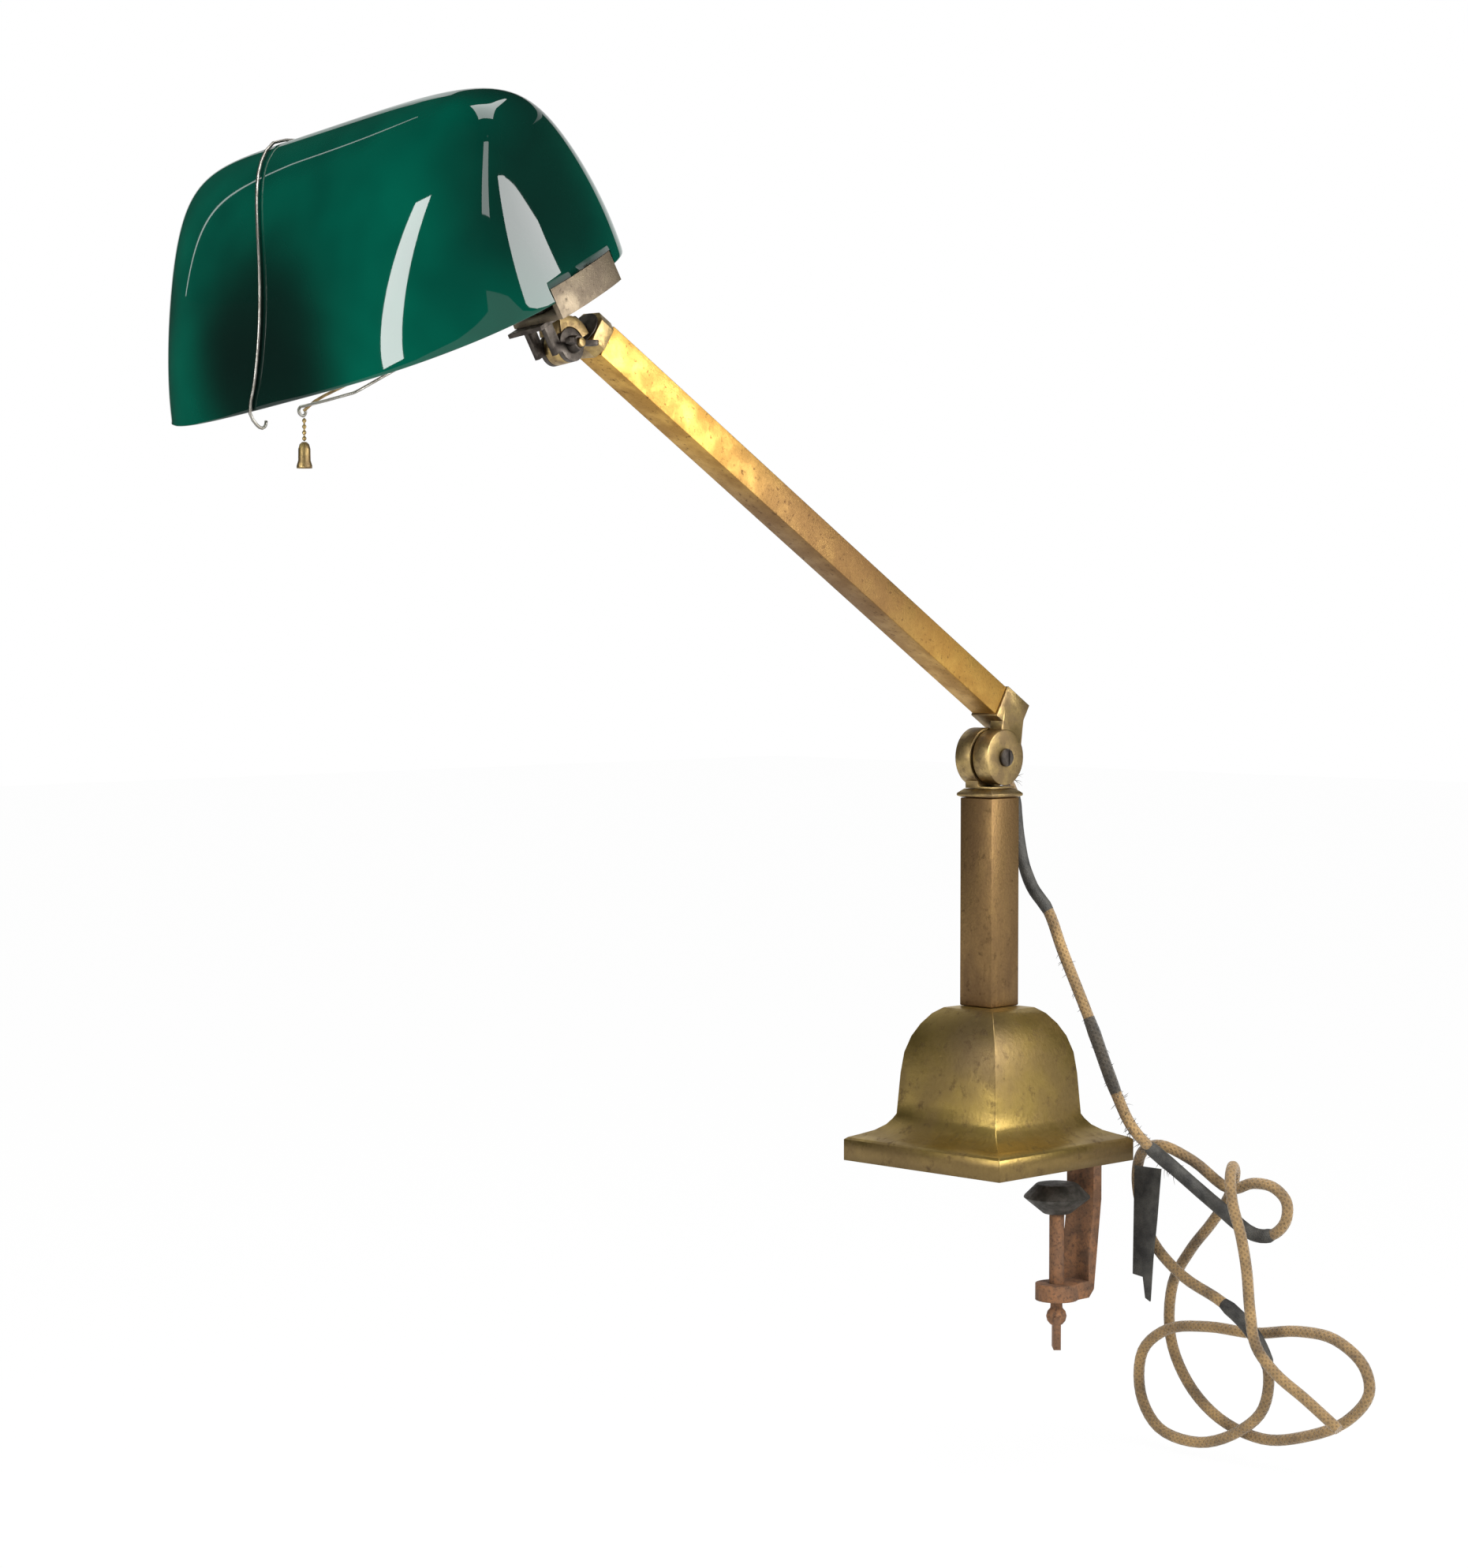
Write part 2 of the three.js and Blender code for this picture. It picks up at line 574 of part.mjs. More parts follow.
// Arm, in its own frame: the pivot at the origin, the arm along -Y, its middle ARM_RISE up
const ARM_START = ARM_BLOCK_FRONT + FIT;
const ARM_END = ARM_START + ARM_LENGTH;
const COLLAR_START = ARM_END + FIT;
const COLLAR_END = COLLAR_START + COLLAR_LENGTH;
const SPIGOT_SIDE = ARM_SIDE - 2 * ARM_WALL - 2 * FIT;

function armKnuckle() {
  const half = ARM_BLOCK_SIDE / 2;
  const under = ARM_RISE - half;
  const disc = alongX(rod(ARM_DISC_RADIUS, HALF_GAP, KNUCKLE_HALF_WIDTH, 2 * ROUND_STEPS));
  const web = plateYZ([
    [-ARM_DISC_RADIUS * 0.55, ARM_DISC_RADIUS * 0.7], [ARM_BLOCK_BACK, -ARM_DISC_RADIUS * 0.2],
    [ARM_DISC_RADIUS * 0.85, ARM_DISC_RADIUS * 0.3],
    [ARM_BLOCK_BACK, ARM_RISE], [-ARM_BLOCK_FRONT * 0.8, ARM_RISE], [-ARM_BLOCK_FRONT * 0.65, under],
  ], HALF_GAP, half);
  const block = box(-half, half, -ARM_BLOCK_FRONT, ARM_BLOCK_BACK, under, ARM_RISE + half);
  const spigot = box(
    -SPIGOT_SIDE / 2, SPIGOT_SIDE / 2,
    -ARM_BLOCK_FRONT - ARM_SPIGOT_LENGTH, -ARM_BLOCK_FRONT + FIT,
    ARM_RISE - SPIGOT_SIDE / 2, ARM_RISE + SPIGOT_SIDE / 2,
  );
  const pivotHole = alongX(rod(PIVOT_DIAMETER / 2 + FIT, -CUT_OVERRUN, KNUCKLE_HALF_WIDTH + CUT_OVERRUN));
  return cut(join(disc, web, block, spigot), pivotHole);
}

function squareTube(side, wall, start, length) {
  const outer = side / 2;
  const inner = outer - wall;
  return alongArm(squared([
    [inner, start], [outer, start], [outer, start + length], [inner, start + length], [inner, start],
  ])).translate(0, 0, ARM_RISE);
}

function armCollar() {
  const half = COLLAR_SIDE / 2;
  const c = half - COLLAR_CHAMFER;
  const outline = [[half, -c], [half, c], [c, half], [-c, half], [-half, c], [-half, -c], [-c, -half], [c, -half]];
  const plate = alongArm(plateXY(outline, COLLAR_START, COLLAR_END));
  const spigot = box(
    -SPIGOT_SIDE / 2, SPIGOT_SIDE / 2,
    -COLLAR_START - FIT, -COLLAR_START + ARM_SPIGOT_LENGTH,
    -SPIGOT_SIDE / 2, SPIGOT_SIDE / 2,
  );
  const hole = alongArm(rod(
    SWIVEL_SCREW_DIAMETER / 2 + FIT,
    COLLAR_START - ARM_SPIGOT_LENGTH - CUT_OVERRUN, COLLAR_END + CUT_OVERRUN,
  ));
  return cut(join(plate, spigot), hole).translate(0, 0, ARM_RISE);
}

function swivelScrew() {
  const seat = COLLAR_START - ARM_SPIGOT_LENGTH - FIT;
  const head = alongArm(rod(SWIVEL_SCREW_HEAD / 2, seat - SWIVEL_SCREW_HEAD_HEIGHT, seat));
  const shank = alongArm(rod(
    SWIVEL_SCREW_DIAMETER / 2,
    seat - FIT, NECK_START + SWIVEL_SCREW_DEPTH,
  ));
  return join(head, shank).translate(0, 0, ARM_RISE);
}

function swivelWasher() {
  return alongArm(pipe(
    SWIVEL_WASHER_DIAMETER / 2, SWIVEL_SCREW_DIAMETER / 2 + FIT,
    COLLAR_END + FIT, COLLAR_END + FIT + SWIVEL_WASHER_THICKNESS,
  )).translate(0, 0, ARM_RISE);
}

// Neck, in the swivel's frame: the origin on the middle of the arm at the collar's face, the arm along -Y
const NECK_START = COLLAR_END + 2 * FIT + SWIVEL_WASHER_THICKNESS;
const NECK_BACK = NECK_START - COLLAR_END;
const NECK_FRONT = 5; // front of the neck ahead of the tilt axis
const BRACKET_BOTTOM = BRACKET_ABOVE_TILT;

function neck() {
  const x = NECK_WIDTH / 2;
  const reach = BRACKET_BOTTOM - 2 * FIT - FORK_PLATE_THICKNESS - 2 * FIT;
  // The head of the neck is round about the tilt axis, so that the bracket clears it at every tilt
  const crown = plateYZ(arc(0, 0, reach, 0, 360, 2 * ROUND_STEPS).slice(0, -1), -x, x);
  const post = box(-x, x, -NECK_FRONT, reach, 0, reach);
  // Its front slopes back, so that the fork's straps clear it when the head is tipped right back
  const slope = box(
    -x, x, -NECK_FRONT - STRAP_CLEARANCE + 2 * FIT, BRACKET_BOTTOM, -BRACKET_BOTTOM, 2 * BRACKET_BOTTOM,
  ).rotateX(radians(-STRAP_SWING));
  const upper = common(common(crown, post), slope).rotateX(radians(TILT_ANGLE));
  const ear = alongX(rod(TILT_RADIUS, -EAR_WIDTH / 2, EAR_WIDTH / 2, 2 * ROUND_STEPS));
  const clear = TILT_RADIUS + 2 * FIT;
  const grooves = [[-x - CUT_OVERRUN, -EAR_WIDTH / 2], [EAR_WIDTH / 2, x + CUT_OVERRUN]]
    .map(([x0, x1]) => alongX(rod(clear, x0, x1, 2 * ROUND_STEPS)));
  const boltHole = alongX(rod(TILT_BOLT_DIAMETER / 2 + FIT, -x - CUT_OVERRUN, x + CUT_OVERRUN));
  const behind = box(
    -NECK_WIDTH, NECK_WIDTH, TILT_AHEAD - NECK_BACK, TILT_AHEAD + BRACKET_BOTTOM,
    -BRACKET_BOTTOM - TILT_DROP, BRACKET_BOTTOM + TILT_DROP,
  );
  const screwHole = alongArm(rod(
    SWIVEL_SCREW_DIAMETER / 2 + FIT,
    NECK_BACK - CUT_OVERRUN, NECK_BACK + SWIVEL_SCREW_DEPTH + FIT,
  )).translate(0, TILT_AHEAD, TILT_DROP);
  return cut(join(upper, ear), ...grooves, boltHole, behind, screwHole)
    .translate(0, -TILT_AHEAD, -TILT_DROP);
}

// Head, in the tilt's frame: the tilt axis through the origin along X, the rim of the glass level
const RIM_HEIGHT = BRACKET_BOTTOM + BRACKET_DROP;
const END_X = BRACKET_AHEAD;
const MIDDLE_X = END_X - SHADE_NEAR_HALF;
const FAR_X = MIDDLE_X - SHADE_FAR_HALF;
const EAR_GAP = EAR_WIDTH / 2 + FIT;

function tiltFork() {
  const plateTop = BRACKET_BOTTOM - FIT;
  const plateBottom = plateTop - FORK_PLATE_THICKNESS;
  const strapBack = -NECK_FRONT - STRAP_CLEARANCE;
  const cheek = (x0, x1) => join(
    alongX(rod(TILT_RADIUS, x0, x1, 2 * ROUND_STEPS)),
    box(x0, x1, strapBack - STRAP_WIDTH, strapBack, 0, plateTop),
  );
  const back = FORK_PLATE_BACK;
  const plate = box(
    -FORK_PLATE_WIDTH / 2, FORK_PLATE_WIDTH / 2,
    back - FORK_PLATE_LENGTH, back, plateBottom, plateTop,
  );
  const left = cheek(-EAR_GAP - CHEEK_THICKNESS, -EAR_GAP);
  const right = cheek(EAR_GAP, EAR_GAP + CHEEK_THICKNESS);
  const hole = alongX(rod(TILT_BOLT_DIAMETER / 2 + FIT, -NECK_WIDTH, NECK_WIDTH));
  return cut(join(left, right, plate), hole, ...rivetHoles(plateBottom - CUT_OVERRUN, plateTop + CUT_OVERRUN));
}

// The two rivets hold the fork's plate, the bracket's floor and the foot of the socket arm together.
function rivetPlaced(geometry, side) {
  return geometry.translate(RIVET_X, RIVET_MIDDLE + side * RIVET_SPREAD / 2, 0);
}

function rivetHoles(z0, z1) {
  return [-1, 1].map((side) => rivetPlaced(rod(FORK_RIVET_DIAMETER / 2 + FIT, z0, z1), side));
}

function rivet(side) {
  const bottom = BRACKET_BOTTOM - FIT - FORK_PLATE_THICKNESS;
  const top = FOOT_BOTTOM + SOCKET_ARM_THICKNESS + FIT;
  const head = FORK_RIVET_DIAMETER * 0.8;
  const profile = [
    [0, bottom], [FORK_RIVET_DIAMETER / 2, bottom], [FORK_RIVET_DIAMETER / 2, top], [head, top],
    [head * 0.7, top + head * 0.4], [0, top + head * 0.5],
  ];
  return rivetPlaced(turned(profile, BORE_STEPS), side);
}

function tiltBolt() {
  const seat = EAR_GAP + CHEEK_THICKNESS + FIT;
  const head = box(
    -seat - TILT_BOLT_HEAD_HEIGHT, -seat,
    -TILT_BOLT_HEAD / 2, TILT_BOLT_HEAD / 2, -TILT_BOLT_HEAD / 2, TILT_BOLT_HEAD / 2,
  );
  const shank = alongX(rod(TILT_BOLT_DIAMETER / 2, -seat - FIT, seat + WING_HUB_HEIGHT + CUT_OVERRUN));
  return join(head, shank);
}

function wingNut() {
  const seat = EAR_GAP + CHEEK_THICKNESS + FIT;
  const hub = alongX(turned([
    [0, seat], [WING_HUB_DIAMETER / 2, seat], [WING_HUB_DIAMETER * 0.4, seat + WING_HUB_HEIGHT],
    [0, seat + WING_HUB_HEIGHT],
  ], BORE_STEPS));
  const lift = seat + WING_HUB_HEIGHT * 0.35;
  const t = WING_THICKNESS / 2;
  const wing = (side) => {
    const outline = [
      [WING_HUB_DIAMETER * 0.2, lift], [WING_REACH * 0.62, lift + WING_LIFT * 0.25],
      [WING_REACH, lift + WING_LIFT * 0.45], [WING_REACH, lift + WING_LIFT * 0.85],
      [WING_REACH * 0.8, lift + WING_LIFT], [WING_REACH * 0.6, lift + WING_LIFT * 0.85],
      [WING_HUB_DIAMETER * 0.2, seat + WING_HUB_HEIGHT],
    ].map(([out, up]) => [up, side * out]);
    return plateXY(outline, -t, t).rotateX(Math.PI / 2);
  };
  const bore = alongX(rod(TILT_BOLT_DIAMETER / 2 + FIT, 0, seat + WING_HUB_HEIGHT + WING_LIFT));
  return cut(join(hub, wing(1), wing(-1)), bore).rotateX(radians(WING_ANGLE));
}

// Rim outline of the glass at a level: how far the far end, the near end and the sides come in
function glassLevel(share, inset) {
  const ease = (curve) => (1 - curve.draft * share) * Math.max(0, 1 - share ** curve.rise) ** (1 / curve.round);
  return {
    far: (SHADE_FAR_HALF - inset) * ease(FAR_END_CURVE),
    near: (SHADE_NEAR_HALF - inset) * ease(NEAR_END_CURVE),
    side: (SHADE_HALF_DEPTH - inset) * ease(SIDE_CURVE),
    height: RIM_HEIGHT + (SHADE_HEIGHT - inset) * share,
  };
}

// Squareness of the glass's corner at a level
function squareness(curve, share) {
  return curve.plan + (curve.crown - curve.plan) * share;
}

function glassRing(share, inset, count) {
  const level = glassLevel(share, inset);
  const ring = [];
  for (let i = 0; i < count; i += 1) {
    const angle = (2 * Math.PI * i) / count;
    const c = Math.cos(angle);
    const s = Math.sin(angle);
    const plan = 2 / squareness(c > 0 ? NEAR_END_CURVE : FAR_END_CURVE, share);
    const reach = c > 0 ? level.near : level.far;
    const x = MIDDLE_X + reach * Math.sign(c) * Math.abs(c) ** plan;
    const y = SHADE_OFFSET + level.side * Math.sign(s) * Math.abs(s) ** plan;
    ring.push([x, y, level.height]);
  }
  return ring;
}

// Joins a stack of rings of equal count into a closed solid, with a point at its top.
function ringStack(rings, peak, under) {
  const count = rings[0].length;
  const points = rings.flat().concat([peak, under]);
  const top = rings.length * count;
  const bottom = top + 1;
  const index = [];
  for (let r = 0; r < rings.length - 1; r += 1) {
    for (let i = 0; i < count; i += 1) {
      const a = r * count + i;
      const b = r * count + ((i + 1) % count);
      index.push(a, b, b + count, a, b + count, a + count);
    }
  }
  for (let i = 0; i < count; i += 1) {
    const next = (i + 1) % count;
    index.push((rings.length - 1) * count + i, (rings.length - 1) * count + next, top);
    index.push(next, i, bottom);
  }
  const geometry = new THREE.BufferGeometry();
  geometry.setAttribute('position', new THREE.BufferAttribute(Float32Array.from(points.flat()), 3));
  geometry.setIndex(index);
  return geometry;
}

function glassDome(inset, levels, below) {
  const rings = [];
  for (let i = 0; i < levels; i += 1) {
    rings.push(glassRing(Math.sin((Math.PI / 2) * (i / levels)), inset, SHADE_SECTION_POINTS));
  }
  if (below > 0) {
    rings.unshift(rings[0].map(([x, y, z]) => [x, y, z - below]));
  }
  const base = rings[0][0][2];
  return ringStack(rings, [MIDDLE_X, SHADE_OFFSET, RIM_HEIGHT + SHADE_HEIGHT - inset], [MIDDLE_X, SHADE_OFFSET, base]);
}

function glassShade() {
  const outer = glassDome(0, SHADE_LEVELS, 0);
  const inner = glassDome(GLASS_WALL, SHADE_LEVELS, CUT_OVERRUN);
  const notch = box(
    END_X - SHADE_NEAR_HALF * 0.4, END_X + CUT_OVERRUN,
    SHADE_OFFSET - BRACKET_WIDTH / 2 - FIT, SHADE_OFFSET + BRACKET_WIDTH / 2 + FIT,
    RIM_HEIGHT - CUT_OVERRUN, RIM_HEIGHT + NOTCH_HEIGHT + FIT,
  );
  return cut(outer, inner, notch);
}

// Points on the rim's outline of the near end, moved in by an inset, across a given width
function endOutline(width, inset, steps) {
  const points = [];
  for (let i = 0; i <= steps; i += 1) {
    const y = -width / 2 + (width * i) / steps;
    const share = Math.abs(y) / (SHADE_HALF_DEPTH - inset);
    const along = (1 - share ** NEAR_END_CURVE.plan) ** (1 / NEAR_END_CURVE.plan);
    points.push([MIDDLE_X + (SHADE_NEAR_HALF - inset) * along, SHADE_OFFSET + y]);
  }
  return points;
}

function shadeBracket() {
  const steps = 14;
  const outer = endOutline(BRACKET_WIDTH, 0, steps);
  const inner = endOutline(BRACKET_WIDTH, BRACKET_THICKNESS, steps).reverse();
  const band = plateXY(outer.concat(inner), BRACKET_BOTTOM, RIM_HEIGHT + NOTCH_HEIGHT);
  const y = BRACKET_WIDTH / 2;
  const floorOutline = outer.concat([
    [END_X - BRACKET_FLOOR_LENGTH, SHADE_OFFSET + y * 0.8],
    [END_X - BRACKET_FLOOR_LENGTH, SHADE_OFFSET - y * 0.8],
  ]);
  const floor = plateXY(floorOutline, BRACKET_BOTTOM, BRACKET_BOTTOM + BRACKET_THICKNESS);
  return cut(join(band, floor), ...rivetHoles(
    BRACKET_BOTTOM - CUT_OVERRUN,
    BRACKET_BOTTOM + BRACKET_THICKNESS + CUT_OVERRUN,
  ));
}

// Socket, in the head's frame. Turned pieces are made along Z and laid along -X, towards the far end.
const FOOT_BOTTOM = BRACKET_BOTTOM + BRACKET_THICKNESS + FIT;
const UPRIGHT_X = END_X - SOCKET_ARM_BEHIND_BAND;
const SOCKET_HEIGHT = RIM_HEIGHT + SOCKET_ABOVE_RIM;
const CAP_FACE = -UPRIGHT_X + SOCKET_ARM_THICKNESS + FIT;
const CAP_END = CAP_FACE + SOCKET_CAP_LENGTH;
const SHELL_OUTER = SOCKET_CAP_DIAMETER / 2 - SOCKET_WALL - FIT;
const SHELL_START = CAP_FACE + SOCKET_WALL + FIT;
const SLEEVE_OUTER = SHELL_OUTER - SOCKET_WALL - FIT;
const SLEEVE_BORE = SLEEVE_OUTER - INSULATOR_WALL;
const BULB_BASE_START = SHELL_START + NIPPLE_NUT_HEIGHT + 2 * FIT;
const BULB_BASE_END = BULB_BASE_START + BULB_BASE_LENGTH;

function alongSocket(geometry) {
  return geometry.rotateY(-Math.PI / 2).translate(0, SHADE_OFFSET, SOCKET_HEIGHT);
}

function socketArm() {
  const half = SOCKET_ARM_WIDTH / 2;
  const foot = box(
    RIVET_X - FORK_RIVET_DIAMETER * 1.4, UPRIGHT_X,
    RIVET_MIDDLE - half, RIVET_MIDDLE + half,
    FOOT_BOTTOM, FOOT_BOTTOM + SOCKET_ARM_THICKNESS,
  );
  const upright = box(
    UPRIGHT_X - SOCKET_ARM_THICKNESS, UPRIGHT_X,
    SHADE_OFFSET - half, RIVET_MIDDLE + half,
    FOOT_BOTTOM, SOCKET_HEIGHT,
  );
  const eye = alongSocket(rod(half, -UPRIGHT_X, -UPRIGHT_X + SOCKET_ARM_THICKNESS));
  const hole = alongSocket(rod(NIPPLE_DIAMETER / 2 + FIT, -UPRIGHT_X - CUT_OVERRUN, CAP_FACE + CUT_OVERRUN));
  return cut(join(foot, upright, eye), hole, ...rivetHoles(0, SOCKET_HEIGHT - half));
}

function nipple() {
  const start = -UPRIGHT_X - NIPPLE_NUT_HEIGHT - 2 * FIT;
  return alongSocket(pipe(
    NIPPLE_DIAMETER / 2, NIPPLE_DIAMETER / 2 - SOCKET_WALL,
    start, SHELL_START + NIPPLE_NUT_HEIGHT, BORE_STEPS,
  ));
}

function nippleNut() {
  const end = -UPRIGHT_X - FIT;
  return alongSocket(hexNut(NIPPLE_NUT_ACROSS, NIPPLE_DIAMETER / 2 + FIT, end - NIPPLE_NUT_HEIGHT, end));
}

function socketCap() {
  const outer = SOCKET_CAP_DIAMETER / 2;
  const inner = outer - SOCKET_WALL;
  const hole = NIPPLE_DIAMETER / 2 + FIT;
  return alongSocket(turned([
    [hole, CAP_FACE], [outer * 0.8, CAP_FACE], [outer, CAP_FACE + outer * 0.3], [outer, CAP_END],
    [inner, CAP_END], [inner, CAP_FACE + SOCKET_WALL + outer * 0.2],
    [inner - outer * 0.2, CAP_FACE + SOCKET_WALL], [hole, CAP_FACE + SOCKET_WALL], [hole, CAP_FACE],
  ]));
}

function socketShell() {
  const start = CAP_END - SOCKET_CAP_LENGTH * 0.4;
  return alongSocket(pipe(SHELL_OUTER, SHELL_OUTER - SOCKET_WALL, start, start + SOCKET_SHELL_LENGTH));
}

function insulator() {
  const start = CAP_END - SOCKET_CAP_LENGTH * 0.4;
  return alongSocket(pipe(SLEEVE_OUTER, SLEEVE_BORE, start, start + SOCKET_SHELL_LENGTH - SOCKET_WALL));
}

function bulbBase() {
  const radius = SLEEVE_BORE - FIT;
  return alongSocket(turned([
    [0, BULB_BASE_START], [radius * 0.35, BULB_BASE_START],
    [radius, BULB_BASE_START + radius * 0.3], [radius, BULB_BASE_END], [0, BULB_BASE_END],
  ]));
}

function bulbGlass() {
  const neckRadius = SLEEVE_BORE - 2 * FIT;
  const radius = BULB_DIAMETER / 2;
  const start = BULB_BASE_END + FIT;
  const end = start + BULB_LENGTH;
  const centre = end - radius;
  const outer = [[neckRadius, start], [neckRadius, start + (centre - start) * 0.2]];
  const inner = [];
  for (const angle of [0, 25, 50, 72]) {
    outer.push([radius * Math.cos(radians(angle)), centre + radius * Math.sin(radians(angle))]);
  }
  for (const [r, z] of outer) {
    inner.unshift([r - BULB_WALL, z - (z > centre ? BULB_WALL * (z - centre) / radius : 0)]);
  }
  return alongSocket(turned([...outer, [0, end], [0, end - BULB_WALL], ...inner, outer[0]]));
}

function chainOutlet() {
  const top = SOCKET_HEIGHT - SHELL_OUTER - FIT;
  return pipe(OUTLET_DIAMETER / 2, OUTLET_DIAMETER / 2 - SOCKET_WALL, top - OUTLET_LENGTH, top, BORE_STEPS)
    .translate(OUTLET_X, SHADE_OFFSET, 0);
}

// Wire bail: a wire bent over the glass near the far end, hooked under both rims
const OUTLET_X = -(CAP_END + SOCKET_SHELL_LENGTH * 0.3);
const BAIL_X = FAR_X + BAIL_FROM_FAR_END;
const EYE_RADIUS = BAIL_WIRE * 1.4;
const EYE_Y = SHADE_OFFSET - BAIL_EYE_FORWARD;
const EYE_X = BAIL_X - BAIL_END_LENGTH;
const EYE_Z = RIM_HEIGHT - BAIL_EYE_DROP;

// Outline of the glass where the bail crosses it, from the front rim to the rear rim, as [x, y, z].
// The bail lies a little askew: nearer the bracket at the rear than at the front.
function bailCrossing() {
  const place = (reach, angle) => {
    const y = -reach * Math.cos(angle);
    const rise = reach * Math.sin(angle);
    const share = Math.min(1, rise / SHADE_HEIGHT);
    const bow = y < 0 ? 4 * BAIL_BOW * share * (1 - share) : 0;
    return [BAIL_X + BAIL_SKEW * y / SHADE_HALF_DEPTH + bow, y, rise];
  };
  const isInside = ([x, y, rise]) => {
    const share = Math.min(1, rise / SHADE_HEIGHT);
    const level = glassLevel(share, 0);
    const plan = squareness(FAR_END_CURVE, share);
    return ((MIDDLE_X - x) / level.far) ** plan + (Math.abs(y) / level.side) ** plan < 1;
  };
  const points = [];
  for (let i = 0; i <= BAIL_SPANS; i += 1) {
    const angle = Math.PI * i / BAIL_SPANS;
    let [within, beyond] = [0, 2 * SHADE_HEIGHT];
    for (let step = 0; step < ROUND_STEPS; step += 1) {
      const middle = (within + beyond) / 2;
      [within, beyond] = isInside(place(middle, angle)) ? [middle, beyond] : [within, middle];
    }
    const [x, y, rise] = place(beyond, angle);
    points.push([x, y, RIM_HEIGHT + rise]);
  }
  return points;
}

function bail() {
  const off = BAIL_WIRE / 2 + BAIL_STANDOFF;
  const crossing = bailCrossing();
  const run = crossing.map(([x, y, z], i) => {
    const [, ya, za] = crossing[Math.max(0, i - 1)];
    const [, yb, zb] = crossing[Math.min(crossing.length - 1, i + 1)];
    const length = Math.hypot(yb - ya, zb - za);
    return [x, SHADE_OFFSET + y - (zb - za) / length * off, z + (yb - ya) / length * off];
  });
  const [frontX, frontY, rimZ] = run[0];
  const [rearX, rearY] = run[run.length - 1];
  const curl = BAIL_HOOK_DROP / 2;
  const frontHook = [
    [frontX, frontY + 1.9 * curl, rimZ - 1.9 * curl], [frontX, frontY + 1.5 * curl, rimZ - 2.3 * curl],
    [frontX, frontY + 0.8 * curl, rimZ - 2.4 * curl], [frontX, frontY + 0.2 * curl, rimZ - 1.7 * curl],
  ];
  const eye = arc(EYE_Y, EYE_Z - EYE_RADIUS, EYE_RADIUS, 90, 360, 6)
    .map(([y, z]) => [EYE_X, y, z]);
  const rearHook = [
    [rearX, rearY - 0.4 * curl, EYE_Z + 0.5 * curl], [rearX, rearY - curl, EYE_Z],
    [BAIL_X, EYE_Y + EYE_RADIUS, EYE_Z], [BAIL_X - EYE_RADIUS, EYE_Y, EYE_Z],
    [EYE_X + EYE_RADIUS, EYE_Y, EYE_Z],
  ];
  return tube([...frontHook, ...run, ...rearHook, ...eye], BAIL_WIRE, 6);
}

function chainLead() {
  const top = SOCKET_HEIGHT - SHELL_OUTER - FIT - OUTLET_LENGTH - FIT;
  const low = RIM_HEIGHT + LEAD_DIAMETER;
  return tube([
    [OUTLET_X, SHADE_OFFSET, top], [OUTLET_X - LEAD_DIAMETER, SHADE_OFFSET, (top + low) / 2],
    [OUTLET_X - 6 * LEAD_DIAMETER, SHADE_OFFSET, low + LEAD_DIAMETER],
    [(OUTLET_X + EYE_X) / 2, (SHADE_OFFSET + EYE_Y) / 2, (low + EYE_Z) / 2 + LEAD_DIAMETER],
    [BAIL_X, EYE_Y + 2 * LEAD_DIAMETER, EYE_Z + 3 * LEAD_DIAMETER],
    [EYE_X + 4 * LEAD_DIAMETER, EYE_Y + 2 * LEAD_DIAMETER, EYE_Z],
    [EYE_X + BAIL_WIRE / 2 + FIT, EYE_Y, EYE_Z - EYE_RADIUS],
  ], LEAD_DIAMETER, 6, 20);
}

// Pull chain, hanging straight down from its own origin
const CHAIN_TOP = -BAIL_WIRE / 2 - FIT;
const CHAIN_BOTTOM = CHAIN_TOP - CHAIN_BEADS * CHAIN_PITCH;

function pullChain() {
  const profile = [[0, CHAIN_TOP]];
  for (let i = 0; i < CHAIN_BEADS; i += 1) {
    const centre = CHAIN_TOP - CHAIN_PITCH * (i + 0.5);
    for (const angle of [-60, -20, 20, 60]) {
      profile.push([CHAIN_BEAD / 2 * Math.cos(radians(angle)), centre - CHAIN_BEAD / 2 * Math.sin(radians(angle))]);
    }
    if (i < CHAIN_BEADS - 1) {
      profile.push([CHAIN_LINK / 2, centre - CHAIN_PITCH / 2]);
    }
  }
  profile.push([0, CHAIN_BOTTOM]);
  return turned(profile, 8);
}

function pullBell() {
  const top = CHAIN_BOTTOM - FIT;
  const mouth = PULL_BELL_MOUTH / 2;
  return turned([
    [0, top], [mouth * 0.3, top], [mouth * 0.6, top - PULL_BELL_HEIGHT * 0.08],
    [mouth * 0.78, top - PULL_BELL_HEIGHT * 0.26], [mouth * 0.8, top - PULL_BELL_HEIGHT * 0.7],
    [mouth, top - PULL_BELL_HEIGHT * 0.9], [mouth, top - PULL_BELL_HEIGHT],
    [mouth * 0.8, top - PULL_BELL_HEIGHT], [mouth * 0.6, top - PULL_BELL_HEIGHT * 0.6],
    [0, top - PULL_BELL_HEIGHT * 0.6],
  ], BORE_STEPS);
}

